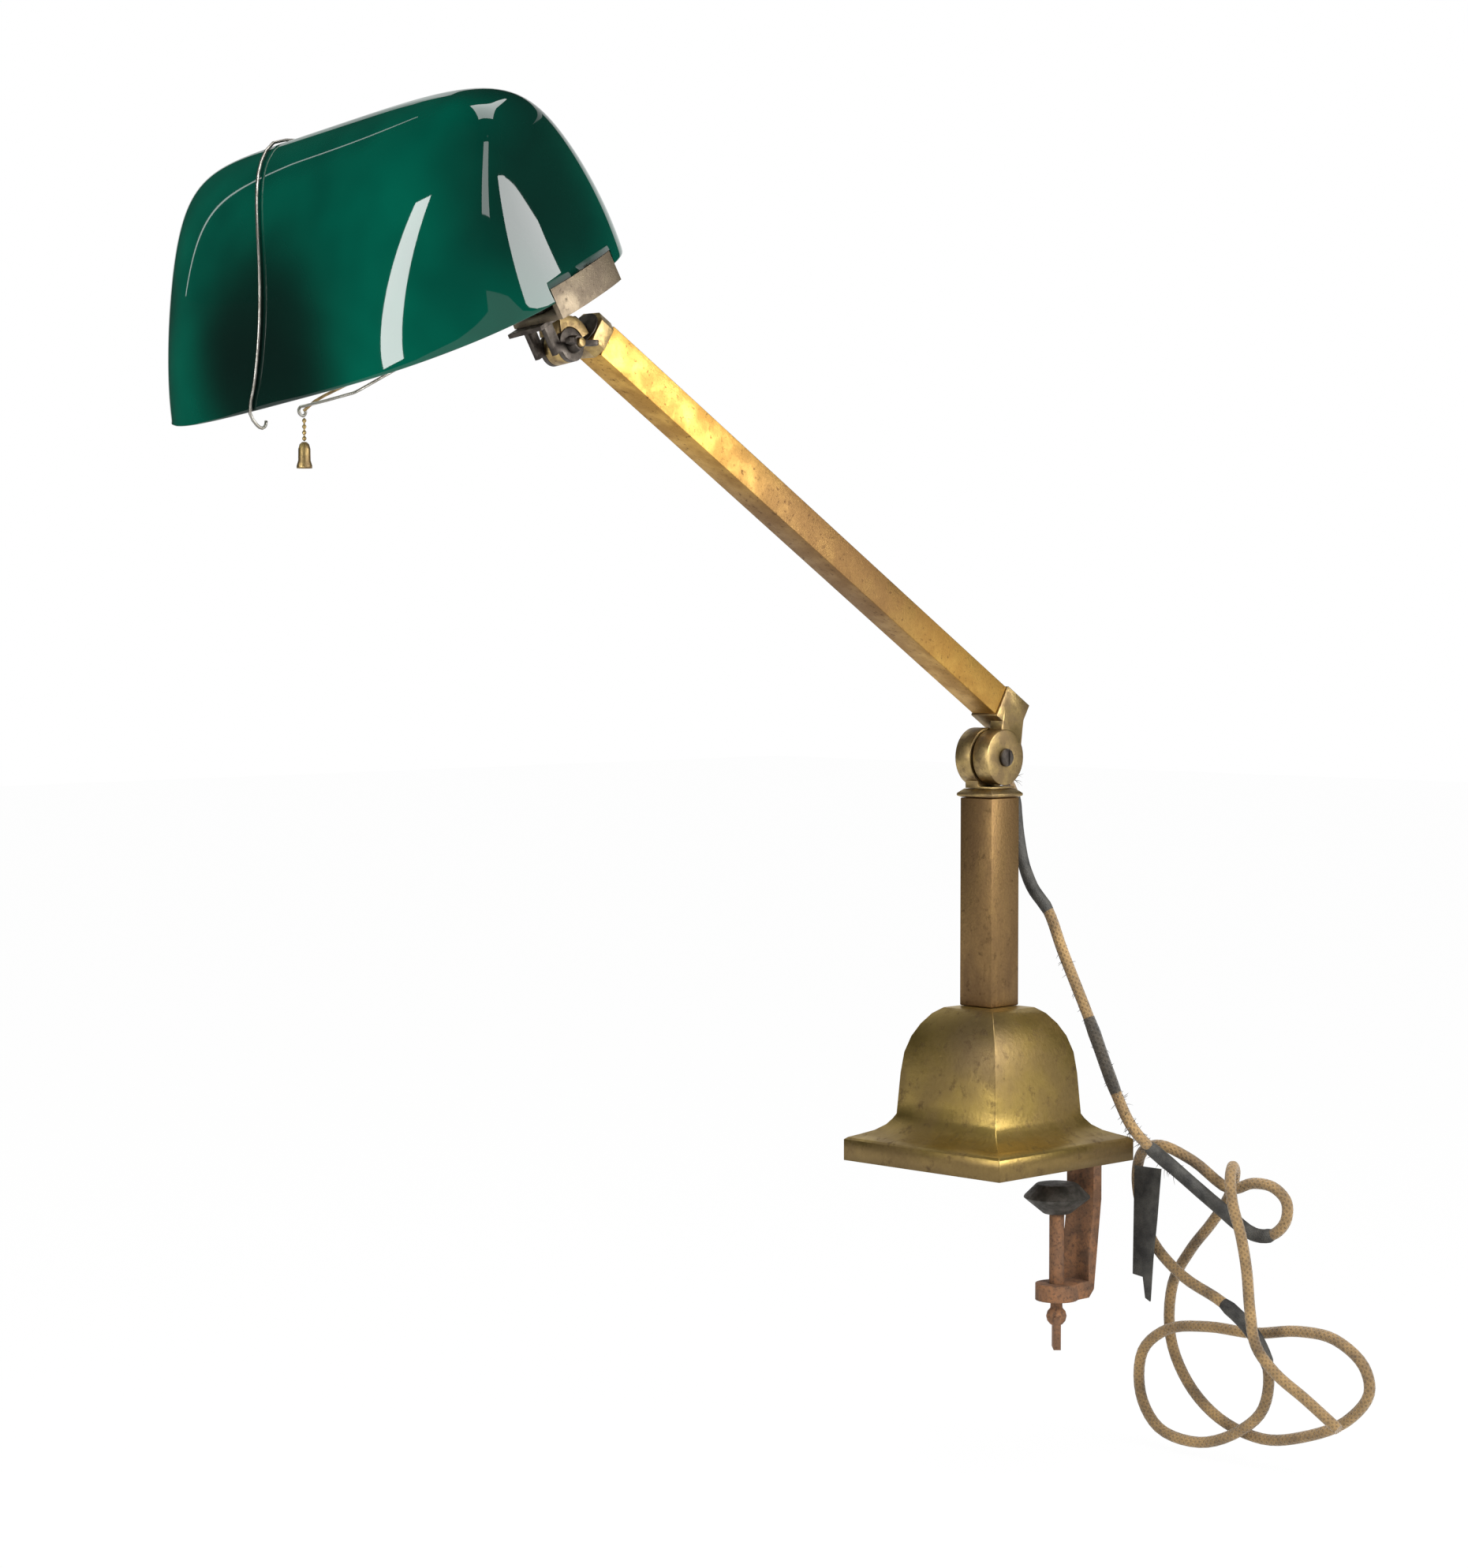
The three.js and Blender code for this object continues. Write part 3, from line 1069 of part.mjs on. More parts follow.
// Cord: it leaves the bush, falls over the corner of the base and the rear edge of the desk,
// doubles back on itself there and hangs in two loops down to its bare end.
const cordRoute = [
  [-7, 30, 226], [-6, 32, 214], [-4, 34, 190], [2, 38, 168], [12, 42, 153], [20, 46, 129],
  [35, 54, 87], [53, 59, 41], [62, 63, 21], [67, 73, 8.5], [72, 94, -8], [96, 108, -31],
  [117, 115, -46], [130, 117, -45], [139, 118, -36], [139, 119, -24], [129, 119, -16],
  [114, 118, -15], [98, 116, -20], [75, 108, -4], [56, 100, 4.5], [41, 101, -1], [34, 104, -17],
  [36, 106, -38], [44, 108, -59], [67, 109, -78], [98, 110, -91], [120, 111, -107],
  [131, 112, -127], [127, 113, -153], [107, 114, -171], [76, 115, -183], [43, 116, -179],
  [26, 119, -160], [26, 121, -133], [44, 123, -117], [75, 124, -111], [111, 124, -110],
  [145, 124, -104], [173, 123, -105], [195, 122, -118], [199, 122, -134], [182, 122, -154],
  [149, 122, -169], [119, 123, -175], [84, 125, -168], [56, 129, -150], [39, 133, -124],
  [42, 131, -89], [57, 130, -65], [74, 129, -46], [89, 127, -27], [98, 121, -11], [103, 112, -5],
  [108, 103, -11], [113, 99, -26], [120, 98, -44], [124, 99, -66], [126, 100, -91],
  [130, 101, -112], [143, 103, -127], [165, 104, -140], [189, 105, -155],
];

function cord() {
  const angle = radians(BUSH_ANGLE);
  const exit = (reach) => [
    -(KNUCKLE_HALF_WIDTH + HALF_GAP) / 2,
    reach * Math.cos(angle),
    PIVOT_HEIGHT + reach * Math.sin(angle),
  ];
  const start = KNUCKLE_RADIUS + BUSH_PROUD + FIT;
  return tube([exit(start), exit(start + CORD_DIAMETER * 0.8), ...cordRoute], CORD_DIAMETER, CORD_SIDES, CORD_STEPS);
}

// A loose strip of the cord's tape, hanging from the doubled part
function tapeStrip() {
  const outline = [
    [37, -10], [58, -10], [55, -42], [52, -68], [50, -95], [46, -93], [44, -80], [36, -79],
  ];
  return plateXY(outline, -TAPE_THICKNESS, 0).rotateX(Math.PI / 2).translate(0, TAPE_STRIP_Y, 0);
}

const lamp = new THREE.Group();

const base = new THREE.Group();
lamp.add(base);
addPiece(base, 'bell_base', bellBase(), BRASS);
addPiece(base, 'clamp_frame', clampFrame(), RUSTED_IRON);
addPiece(base, 'clamp_pad', clampPad(), DARK_IRON);
addPiece(base, 'clamp_screw', clampScrew(), RUSTED_IRON);
addPiece(base, 'stem_pipe', pipe(
  STEM_DIAMETER / 2, STEM_BORE / 2, TONGUE_FLOOR + FIT, STEM_TOP, BORE_STEPS,
), STEEL);
addPiece(base, 'stem_nut', hexNut(
  STEM_NUT_ACROSS, STEM_DIAMETER / 2 + FIT,
  TONGUE_THICKNESS + FIT, TONGUE_THICKNESS + FIT + STEM_NUT_HEIGHT,
), STEEL);
addPiece(base, 'column_tube', columnTube(), BRASS);
addPiece(base, 'column_cap', columnCap(), PALE_BRASS);
addPiece(base, 'column_knuckle', columnKnuckle(), PALE_BRASS);
addPiece(base, 'cord_bush', cordBush(), STEEL);
addPiece(base, 'friction_washer', frictionWasher(), STEEL);
addPiece(base, 'pivot_screw', pivotScrew(), STEEL);
addPiece(base, 'pivot_nut', pivotNut(), STEEL);

const arm = new THREE.Group();
arm.position.set(0, 0, PIVOT_HEIGHT);
arm.rotation.x = -radians(ARM_ELEVATION);
lamp.add(arm);
addPiece(arm, 'arm_knuckle', armKnuckle(), PALE_BRASS);
addPiece(arm, 'arm_tube', squareTube(ARM_SIDE, ARM_WALL, ARM_START, ARM_LENGTH), GOLD_BRASS);
addPiece(arm, 'arm_collar', armCollar(), PALE_BRASS);
addPiece(arm, 'swivel_screw', swivelScrew(), STEEL);
addPiece(arm, 'swivel_washer', swivelWasher(), STEEL);

const swivel = new THREE.Group();
swivel.position.set(0, -COLLAR_END, ARM_RISE);
swivel.rotation.y = -radians(SWIVEL_ANGLE);
arm.add(swivel);
addPiece(swivel, 'neck', neck(), GOLD_BRASS);

const head = new THREE.Group();
head.position.set(0, -TILT_AHEAD, -TILT_DROP);
head.rotation.x = radians(TILT_ANGLE);
swivel.add(head);
addPiece(head, 'tilt_fork', tiltFork(), STEEL);
addPiece(head, 'tilt_bolt', tiltBolt(), PALE_BRASS);
addPiece(head, 'wing_nut', wingNut(), STEEL);
addPiece(head, 'shade_bracket', shadeBracket(), PALE_BRASS);
addPiece(head, 'bracket_rivet_front', rivet(-1), STEEL);
addPiece(head, 'bracket_rivet_rear', rivet(1), STEEL);
addPiece(head, 'glass_shade', glassShade(), GREEN_GLASS);
addPiece(head, 'socket_arm', socketArm(), STEEL);
addPiece(head, 'socket_nipple', nipple(), STEEL);
addPiece(head, 'socket_nut', nippleNut(), STEEL);
addPiece(head, 'socket_cap', socketCap(), PALE_BRASS);
addPiece(head, 'socket_shell', socketShell(), PALE_BRASS);
addPiece(head, 'socket_insulator', insulator(), CARD);
addPiece(head, 'bulb_base', bulbBase(), PALE_BRASS);
addPiece(head, 'bulb_glass', bulbGlass(), CLEAR_GLASS);
addPiece(head, 'chain_outlet', chainOutlet(), STEEL);
addPiece(head, 'chain_lead', chainLead(), PALE_BRASS);
addPiece(head, 'wire_bail', bail(), WIRE_STEEL);

// The pull chain hangs plumb from the bail's eye, whatever the head's tilt
const pull = new THREE.Group();
pull.position.set(EYE_X, EYE_Y, EYE_Z - 2 * EYE_RADIUS);
head.add(pull);
lamp.updateMatrixWorld(true);
pull.quaternion.copy(head.getWorldQuaternion(new THREE.Quaternion())).invert();
addPiece(pull, 'pull_chain', pullChain(), PALE_BRASS);
addPiece(pull, 'pull_bell', pullBell(), BRASS);

addPiece(base, 'cord', cord(), CLOTH);
addPiece(base, 'tape_strip', tapeStrip(), TAPE);

export default lamp;
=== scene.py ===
# %% [markdown]
# # A clamp-on bankers lamp in Blender
# The lamp stands on the edge of a desk: a square brass bell with a screw clamp under it, a square column,
# a knuckle, a square arm, and a half-round green glass shade on a second knuckle. The measured shapes come
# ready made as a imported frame. Here they get rounded edges, finer surfaces and real-looking finishes.
# Everything is in metres, with the origin on the desk top under the middle of the base.

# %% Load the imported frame
import math

import bpy
import bmesh
import numpy as np
from mathutils import Matrix, Vector


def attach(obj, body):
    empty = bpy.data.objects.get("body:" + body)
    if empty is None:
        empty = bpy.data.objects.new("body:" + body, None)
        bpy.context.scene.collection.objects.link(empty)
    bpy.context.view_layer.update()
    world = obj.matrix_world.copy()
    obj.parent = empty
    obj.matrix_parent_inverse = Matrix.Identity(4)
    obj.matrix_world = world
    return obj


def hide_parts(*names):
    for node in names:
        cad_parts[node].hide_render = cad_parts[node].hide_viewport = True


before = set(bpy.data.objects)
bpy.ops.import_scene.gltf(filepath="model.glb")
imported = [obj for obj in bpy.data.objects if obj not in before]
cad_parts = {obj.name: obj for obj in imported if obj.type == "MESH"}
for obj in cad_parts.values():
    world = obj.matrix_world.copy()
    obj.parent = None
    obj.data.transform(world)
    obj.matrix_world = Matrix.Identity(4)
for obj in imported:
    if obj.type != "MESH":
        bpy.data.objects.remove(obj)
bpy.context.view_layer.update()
MM = 0.001

# %% [markdown]
# ## Camera
# The lamp is seen almost level, from its front right corner, with a long lens from a little over two
# metres, so that upright edges stay upright. A long lens keeps the far shade and the near base in scale.

# %% Make the camera
LENS_MM, SENSOR_MM = 81.5, 36
CAMERA_PLACE = (1.4329, -1.6557, 0.336)
CAMERA_TURN, CAMERA_DIP = 45, 2.7  # degrees
camera_data = bpy.data.cameras.new("camera")
camera_data.lens = LENS_MM
camera_data.sensor_width = SENSOR_MM
camera_data.clip_end = 20
camera = bpy.data.objects.new("camera", camera_data)
camera.location = CAMERA_PLACE
camera.rotation_euler = (math.radians(90 - CAMERA_DIP), 0, math.radians(CAMERA_TURN))
bpy.context.scene.collection.objects.link(camera)
bpy.context.scene.camera = camera

# %% [markdown]
# ## Helpers
# Colours are written as the hex values that a paint program shows. Blender's shaders want linear light,
# so one function turns them over. One more function adds a shader node with its settings and links.

# %% Colour and node helpers
def colour(hex_value):
    """An sRGB hex colour as linear red, green, blue and alpha."""
    parts = [int(hex_value[i:i + 2], 16) / 255 for i in (1, 3, 5)]
    return (*[p / 12.92 if p <= 0.04045 else ((p + 0.055) / 1.055) ** 2.4 for p in parts], 1)


def add(tree, kind, inputs=None, **settings):
    """Adds a shader node. A value in inputs is a number, a colour, or another node's output to link."""
    made = tree.nodes.new("ShaderNode" + kind)
    for name, value in settings.items():
        setattr(made, name, value)
    for socket, value in (inputs or {}).items():
        if isinstance(value, bpy.types.NodeSocket):
            tree.links.new(value, made.inputs[socket])
        else:
            made.inputs[socket].default_value = value
    return made


def per_mm(size):
    """The scale of a pattern whose features are this many millimetres across."""
    return 1000 / size


# %% [markdown]
# Every pattern is laid in the object's own metres, because the pieces keep the frame's coordinates.
# Three small building blocks serve all the finishes: a patch mask, a mix of two colours by a mask,
# and a bump of a given height.

# %% Pattern helpers
def new_material(name):
    """An empty material: its tree, its surface shader and its coordinates in metres."""
    material = bpy.data.materials.new(name)
    material.use_nodes = True
    tree = material.node_tree
    shader = tree.nodes["Principled BSDF"]
    place = add(tree, "TexCoord").outputs["Object"]
    return material, tree, shader, place


def mask(tree, place, size, low, high, detail=5, rough=0.6, stretch=None):
    """Clouds this many millimetres across, as a mask that rises from 0 at low to 1 at high."""
    if stretch:
        place = add(tree, "Mapping", {"Vector": place, "Scale": stretch}).outputs[0]
    settings = {"Vector": place, "Scale": per_mm(size), "Detail": detail, "Roughness": rough}
    cloud = add(tree, "TexNoise", settings)
    ramp = add(tree, "MapRange", {"Value": cloud.outputs["Fac"], "From Min": low, "From Max": high})
    return ramp.outputs[0]


def mix(tree, factor, first, second, blend="MIX"):
    """Mixes two colours, each a hex value or an output, by a mask."""
    sockets = [colour(c) if isinstance(c, str) else c for c in (first, second)]
    node = add(tree, "Mix", {0: factor, 6: sockets[0], 7: sockets[1]}, data_type="RGBA", blend_type=blend)
    return node.outputs[2]


def between(tree, value, low, high):
    """Turns a mask from 0 to 1 into a number from low to high."""
    return add(tree, "MapRange", {"Value": value, "To Min": low, "To Max": high}).outputs[0]


def calculate(tree, operation, first, second=0.0):
    return add(tree, "Math", {0: first, 1: second}, operation=operation).outputs[0]


def bump(tree, height, depth_mm, strength=1.0, normal=None):
    """A bump this many millimetres deep where height goes from 0 to 1."""
    inputs = {"Height": height, "Distance": depth_mm * MM, "Strength": strength}
    if normal is not None:
        inputs["Normal"] = normal
    return add(tree, "Bump", inputs).outputs[0]


def finish(tree, shader, **values):
    """Sets or links the surface shader's sockets."""
    for name, value in values.items():
        socket = shader.inputs[name.replace("_", " ")]
        if isinstance(value, bpy.types.NodeSocket):
            tree.links.new(value, socket)
        else:
            socket.default_value = value


# %% [markdown]
# ## Metals
# The base and the column are cast and folded yellow brass that was never lacquered. Air and hands turn it
# brown and olive, and it stays yellow only where it is rubbed. So it is one metal in two states: clean
# patches reflect more sharply, and the tarnish is darker, browner and blunter.

# %% Tarnished metal
SPOT_STRENGTH, GRAIN_STRENGTH, SPOT_ROUGHNESS = 0.75, 0.18, 0.12


def nearby(tree, place, middle, radius):
    """A mask that is 1 in the middle of a ball and fades to 0 at its radius. Both are in millimetres."""
    centre = [v * MM for v in middle]
    away = add(tree, "VectorMath", {0: place, 1: centre}, operation="DISTANCE").outputs["Value"]
    return add(tree, "MapRange", {"Value": away, "From Min": radius * MM, "From Max": radius * 0.3 * MM},
               interpolation_type="SMOOTHSTEP").outputs[0]


def tarnished(name, clean, worn, stain, patch_mm, metallic=1.0, roughness=(0.3, 0.5), stains=(0.56, 0.7),
              pit_mm=0.05, stretch=None, browned=None, foot=None):
    """Clean and worn metal in patches, with darker stains and fine pits.

    browned adds one large stain: its colour, its middle and radius in millimetres, and its strength.
    foot darkens the lowest part: its colour, the heights in millimetres where that starts and is full,
    and its strength.
    """
    material, tree, shader, place = new_material(name)
    patches = mask(tree, place, patch_mm, 0.4, 0.62, stretch=stretch)
    spots = mask(tree, place, patch_mm / 5, *stains, detail=7, rough=0.7)
    grain = mask(tree, place, patch_mm / 16, 0.35, 0.7, detail=3)
    base = mix(tree, patches, worn, clean)
    if browned:
        tint, middle, radius, strength = browned
        near = nearby(tree, place, middle, radius)
        ragged = calculate(tree, "MULTIPLY", near, between(tree, spots, 0.75, 1.0))
        base = mix(tree, calculate(tree, "MULTIPLY", ragged, strength), base, tint)
    if foot:
        tint, top, bottom, strength = foot
        height = add(tree, "SeparateXYZ", {"Vector": place}).outputs["Z"]
        span = {"Value": height, "From Min": top * MM, "From Max": bottom * MM}
        low = add(tree, "MapRange", span).outputs[0]
        base = mix(tree, calculate(tree, "MULTIPLY", low, strength), base, tint)
    base = mix(tree, calculate(tree, "MULTIPLY", spots, SPOT_STRENGTH), base, stain)
    base = mix(tree, calculate(tree, "MULTIPLY", grain, GRAIN_STRENGTH), base, stain, "MULTIPLY")
    blunt = between(tree, patches, roughness[1], roughness[0])
    rough = calculate(tree, "ADD", blunt, calculate(tree, "MULTIPLY", spots, SPOT_ROUGHNESS))
    finish(tree, shader, Base_Color=base, Metallic=metallic, Roughness=rough,
           Normal=bump(tree, grain, pit_mm))
    return material


# Bell: olive gold with brown-grey patches and a soft shine
aged_brass = tarnished("aged_brass", "#bba05a", "#978050", "#665239", 42, roughness=(0.38, 0.52),
                       stains=(0.54, 0.68), browned=("#75634c", (22, -40, 80), 42, 0.85),
                       foot=("#7d6846", 14, 9, 0.75))
# Column: dull brown with long upright stains, almost without shine
dull_brass = tarnished("dull_brass", "#997b50", "#7c6243", "#57432c", 26, roughness=(0.4, 0.56),
                       stretch=(1, 1, 0.35))
# Knuckles, cap, neck, socket and pull: grey-gold, handled and stained
worn_brass = tarnished("worn_brass", "#b99f6a", "#8a7553", "#544534", 9, roughness=(0.33, 0.5))
# Bracket: the same brass gone grey and blunt
grey_brass = tarnished("grey_brass", "#8c7f6b", "#766a5b", "#51463c", 14, roughness=(0.5, 0.62))
# Arm: pale rubbed gold, with a brown length where hands never reach
rubbed_brass = tarnished("rubbed_brass", "#d0a656", "#b58c48", "#66492c", 16, roughness=(0.48, 0.6),
                         stains=(0.57, 0.68), browned=("#755a42", (0, -150, 374), 135, 0.95))
dark_steel = tarnished("dark_steel", "#5b544d", "#3f3934", "#2b2622", 8, metallic=0.85, roughness=(0.4, 0.6))
wire_steel = tarnished("wire_steel", "#b3b1aa", "#8f8b82", "#5e574e", 10, roughness=(0.3, 0.45))
# Clamp: rust over grey iron, rough and without shine
rusted_iron = tarnished("rusted_iron", "#8f6340", "#70523c", "#43352d", 10, metallic=0.2,
                        roughness=(0.65, 0.85), stains=(0.5, 0.64), pit_mm=0.18)
# Pad: dark bare iron
dark_iron = tarnished("dark_iron", "#55514b", "#38352f", "#221f1c", 9, metallic=0.5, roughness=(0.5, 0.7),
                      pit_mm=0.2)

# %% [markdown]
# ## Glass
# The shade is pressed glass in a deep bottle green, with a white skin fused on the inside that throws the
# light down. Colour is so deep that the body looks opaque, and the gloss on top does the rest: a clear
# dielectric surface, almost free of roughness. Dark reflections are painted into the green as near-black
# patches at the crown, the bracket end and the front wall.

# %% Glass materials
PAINTED_DARK_STRENGTH = 0.8
# Painted dark reflections on the glass: near-black patches, each given as a middle and a radius in
# millimetres
PAINTED_DARK_REFLECTIONS = [([-122, -455, 490], 82), ([-128, -460, 462], 74), ([48, -390, 560], 84), ([0, -370, 632], 72),
         ([-190, -395, 585], 45), ([-150, -395, 600], 45), ([-100, -395, 612], 40)]


def green_glass():
    material, tree, shader, place = new_material("green_glass")
    cloud = mask(tree, place, 70, 0.35, 0.7, detail=2)
    base = mix(tree, cloud, "#013429", "#014536")
    # Painted dark reflections: in each patch the green is mixed towards near black
    for middle, radius in PAINTED_DARK_REFLECTIONS:
        painted_dark = calculate(tree, "MULTIPLY", nearby(tree, place, middle, radius), PAINTED_DARK_STRENGTH)
        base = mix(tree, painted_dark, base, "#06120f")
    finish(tree, shader, Base_Color=base, Roughness=0.03, IOR=1.3, Specular_IOR_Level=0.8)
    return material


def plain(name, hex_value, roughness, **values):
    material, tree, shader, place = new_material(name)
    cloud = mask(tree, place, 8, 0.3, 0.7)
    dark = mix(tree, between(tree, cloud, 0.25, 0.0), hex_value, "#2a221c")
    finish(tree, shader, Base_Color=dark, Roughness=roughness, **values)
    return material


green_outside = green_glass()
white_inside = plain("opal_white_glass", "#dfe5df", 0.12, IOR=1.52)
clear_glass = plain("clear_bulb_glass", "#f2efe6", 0.03, IOR=1.5, Transmission_Weight=0.9)
vulcanised_fibre = plain("vulcanised_fibre", "#3a2c22", 0.8)

# %% [markdown]
# ## Braided cord and cloth tape
# The flex is rubber wire in a braided cotton sleeve. The braid is drawn from two sets of strands that wind
# round the cord both ways, in the coordinates that the tube's own mesh carries: once round, and metres along.

# %% Cloth materials
CORD_MM = 7


def braided_cotton(name, light, dark):
    material, tree, shader, place = new_material(name)
    uv = add(tree, "SeparateXYZ", {"Vector": add(tree, "TexCoord").outputs["UV"]})
    turns = calculate(tree, "MULTIPLY", uv.outputs["X"], 6)
    along = calculate(tree, "MULTIPLY", uv.outputs["Y"], per_mm(3.6))
    strands = []
    for operation in ("ADD", "SUBTRACT"):
        phase = calculate(tree, "MULTIPLY", calculate(tree, operation, turns, along), math.pi)
        strands.append(calculate(tree, "ABSOLUTE", calculate(tree, "SINE", phase)))
    weave = calculate(tree, "MAXIMUM", *strands)
    dirt = mask(tree, place, 24, 0.35, 0.65)
    fuzz = mask(tree, place, 1.2, 0.3, 0.7, detail=2)
    base = mix(tree, dirt, light, dark)
    # Painted shade: the grooves between the strands are darkened
    base = mix(tree, between(tree, weave, 0.5, 0.0), base, "#4a3a2b", "MULTIPLY")
    height = calculate(tree, "ADD", weave, calculate(tree, "MULTIPLY", fuzz, 0.4))
    finish(tree, shader, Base_Color=base, Roughness=0.9, Normal=bump(tree, height, 0.5), Sheen_Weight=0.3)
    return material


cord_cotton = braided_cotton("braided_cotton", "#97794c", "#5d4a31")
dirty_cotton = braided_cotton("dirty_cotton", "#4f4638", "#2b261f")


def cloth_tape():
    material, tree, shader, place = new_material("friction_tape")
    patches = mask(tree, place, 12, 0.35, 0.7)
    weave = mask(tree, place, 0.9, 0.35, 0.65, detail=1)
    base = mix(tree, patches, "#1d1c1a", "#45433e")
    finish(tree, shader, Base_Color=base, Roughness=0.7, Normal=bump(tree, weave, 0.15))
    return material


tape_black = cloth_tape()
print(len(bpy.data.materials), "materials")

# %% [markdown]
# ## Pieces from points
# A new piece is made from lists of points and faces. It is smooth where its faces meet gently and sharp where
# they meet at more than 35 degrees, it rides on its body, and it stands for the solid that it refines.

# %% Mesh helpers
def piece(name, points, faces, material, body, stands_for=(), sharp=35):
    mesh = bpy.data.meshes.new(name)
    mesh.from_pydata([tuple(p) for p in points], [], [tuple(f) for f in faces])
    mesh.validate()
    shape = bmesh.new()
    shape.from_mesh(mesh)
    bmesh.ops.recalc_face_normals(shape, faces=shape.faces)
    shape.to_mesh(mesh)
    shape.free()
    mesh.shade_smooth()
    mesh.set_sharp_from_angle(angle=math.radians(sharp))
    mesh.materials.append(material)
    made = bpy.data.objects.new(name, mesh)
    bpy.context.scene.collection.objects.link(made)
    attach(made, body)
    if stands_for:
        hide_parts(*stands_for)
    return made


def loft(rings):
    """Points and faces of a skin over rings of equal count, closed by a face at each end."""
    count = len(rings[0])
    points = [p for ring in rings for p in ring]
    faces = []
    for r in range(len(rings) - 1):
        low, high = r * count, (r + 1) * count
        for i in range(count):
            j = (i + 1) % count
            faces.append((low + i, low + j, high + j, high + i))
    faces.append(tuple(range(count))[::-1])
    faces.append(tuple((len(rings) - 1) * count + i for i in range(count)))
    return points, faces


def smooth_path(points, steps):
    """A centripetal Catmull-Rom curve through points, with steps from each point to the next."""
    p = [np.array(q, float) for q in points]
    p = [2 * p[0] - p[1]] + p + [2 * p[-1] - p[-2]]
    out = []
    for a, b, c, d in zip(p, p[1:], p[2:], p[3:]):
        t = [0.0]
        for q, r in ((a, b), (b, c), (c, d)):
            t.append(t[-1] + max(float(np.linalg.norm(r - q)), 1e-9) ** 0.5)
        for k in range(steps):
            s = t[1] + (t[2] - t[1]) * k / steps
            ab = a + (b - a) * (s - t[0]) / (t[1] - t[0])
            bc = b + (c - b) * (s - t[1]) / (t[2] - t[1])
            cd = c + (d - c) * (s - t[2]) / (t[3] - t[2])
            abc = ab + (bc - ab) * (s - t[0]) / (t[2] - t[0])
            bcd = bc + (cd - bc) * (s - t[1]) / (t[3] - t[1])
            out.append(abc + (bcd - abc) * (s - t[1]) / (t[2] - t[1]))
    out.append(p[-2])
    return np.array(out)


def tube(name, path, radius, sides, material, body, stands_for=()):
    """A round tube along a path, with a map of once round by metres along for the braid."""
    path = np.asarray(path, float)
    ways = np.gradient(path, axis=0)
    ways /= np.linalg.norm(ways, axis=1)[:, None]
    side = np.cross(ways[0], (0.3, 0.5, 0.8))
    rings, lengths = [], [0.0]
    radii = np.broadcast_to(radius, len(path))
    for i, (point, way) in enumerate(zip(path, ways)):
        side = side - way * np.dot(side, way)
        side /= np.linalg.norm(side)
        up = np.cross(way, side)
        turn = [2 * math.pi * k / sides for k in range(sides)]
        rings.append([point + radii[i] * (math.cos(a) * side + math.sin(a) * up) for a in turn])
        if i:
            lengths.append(lengths[-1] + float(np.linalg.norm(path[i] - path[i - 1])))
    points, faces = loft(rings)
    made = piece(name, points, faces, material, body, stands_for, sharp=50)
    layer = made.data.uv_layers.new(name="round_and_along")
    for face in made.data.polygons:
        turns = [(v % sides) / sides for v in face.vertices]
        wrap = max(turns) - min(turns) > 0.5
        for loop, v, t in zip(face.loop_indices, face.vertices, turns):
            layer.data[loop].uv = (t + 1 if wrap and t < 0.5 else t, lengths[v // sides])
    return made


# %% [markdown]
# ## The cord
# The cloth cord leaves the fixed half of the lower knuckle through a bush, falls over the corner of the base
# and the rear edge of the desk, doubles back on itself there, and hangs in two loops to its bare end.
# Its route is a list of points in millimetres that the solid shares.

# %% Cord
PIVOT_HEIGHT = 249.7
KNUCKLE_RADIUS, KNUCKLE_HALF_WIDTH, HALF_GAP = 18, 12.5, 0.7
BUSH_PROUD, FIT = 4, 0.3
BUSH_TILT = math.radians(-33)
ROUTE_STEPS = 5  # spans of the curve from one point of the route to the next
BUSH_POINTS = 2  # points in the bush, before the route starts
cord_route = [
    [-7, 30, 226], [-6, 32, 214], [-4, 34, 190], [2, 38, 168], [12, 42, 153], [20, 46, 129],
    [35, 54, 87], [53, 59, 41], [62, 63, 21], [67, 73, 8.5], [72, 94, -8], [96, 108, -31],
    [117, 115, -46], [130, 117, -45], [139, 118, -36], [139, 119, -24], [129, 119, -16],
    [114, 118, -15], [98, 116, -20], [75, 108, -4], [56, 100, 4.5], [41, 101, -1], [34, 104, -17],
    [36, 106, -38], [44, 108, -59], [67, 109, -78], [98, 110, -91], [120, 111, -107],
    [131, 112, -127], [127, 113, -153], [107, 114, -171], [76, 115, -183], [43, 116, -179],
    [26, 119, -160], [26, 121, -133], [44, 123, -117], [75, 124, -111], [111, 124, -110],
    [145, 124, -104], [173, 123, -105], [195, 122, -118], [199, 122, -134], [182, 122, -154],
    [149, 122, -169], [119, 123, -175], [84, 125, -168], [56, 129, -150], [39, 133, -124],
    [42, 131, -89], [57, 130, -65], [74, 129, -46], [89, 127, -27], [98, 121, -11], [103, 112, -5],
    [108, 103, -11], [113, 99, -26], [120, 98, -44], [124, 99, -66], [126, 100, -91],
    [130, 101, -112], [143, 103, -127], [165, 104, -140], [189, 105, -155],
]


def bush_point(reach):
    across = -(KNUCKLE_HALF_WIDTH + HALF_GAP) / 2
    return [across, reach * math.cos(BUSH_TILT), PIVOT_HEIGHT + reach * math.sin(BUSH_TILT)]


bush_mouth = KNUCKLE_RADIUS + BUSH_PROUD + FIT
cord_points = [bush_point(bush_mouth), bush_point(bush_mouth + CORD_MM * 0.8)] + cord_route
cord_path = smooth_path(cord_points, ROUTE_STEPS) * MM
cord = tube("flex", cord_path, CORD_MM / 2 * MM, 20, cord_cotton, "base", ["cord"])

# %% [markdown]
# The cord has been mended with black cloth tape in three places, and its cotton is worn through to loose
# threads beside them. Each wrap is a slightly lumpy sleeve over a stretch of the cord.

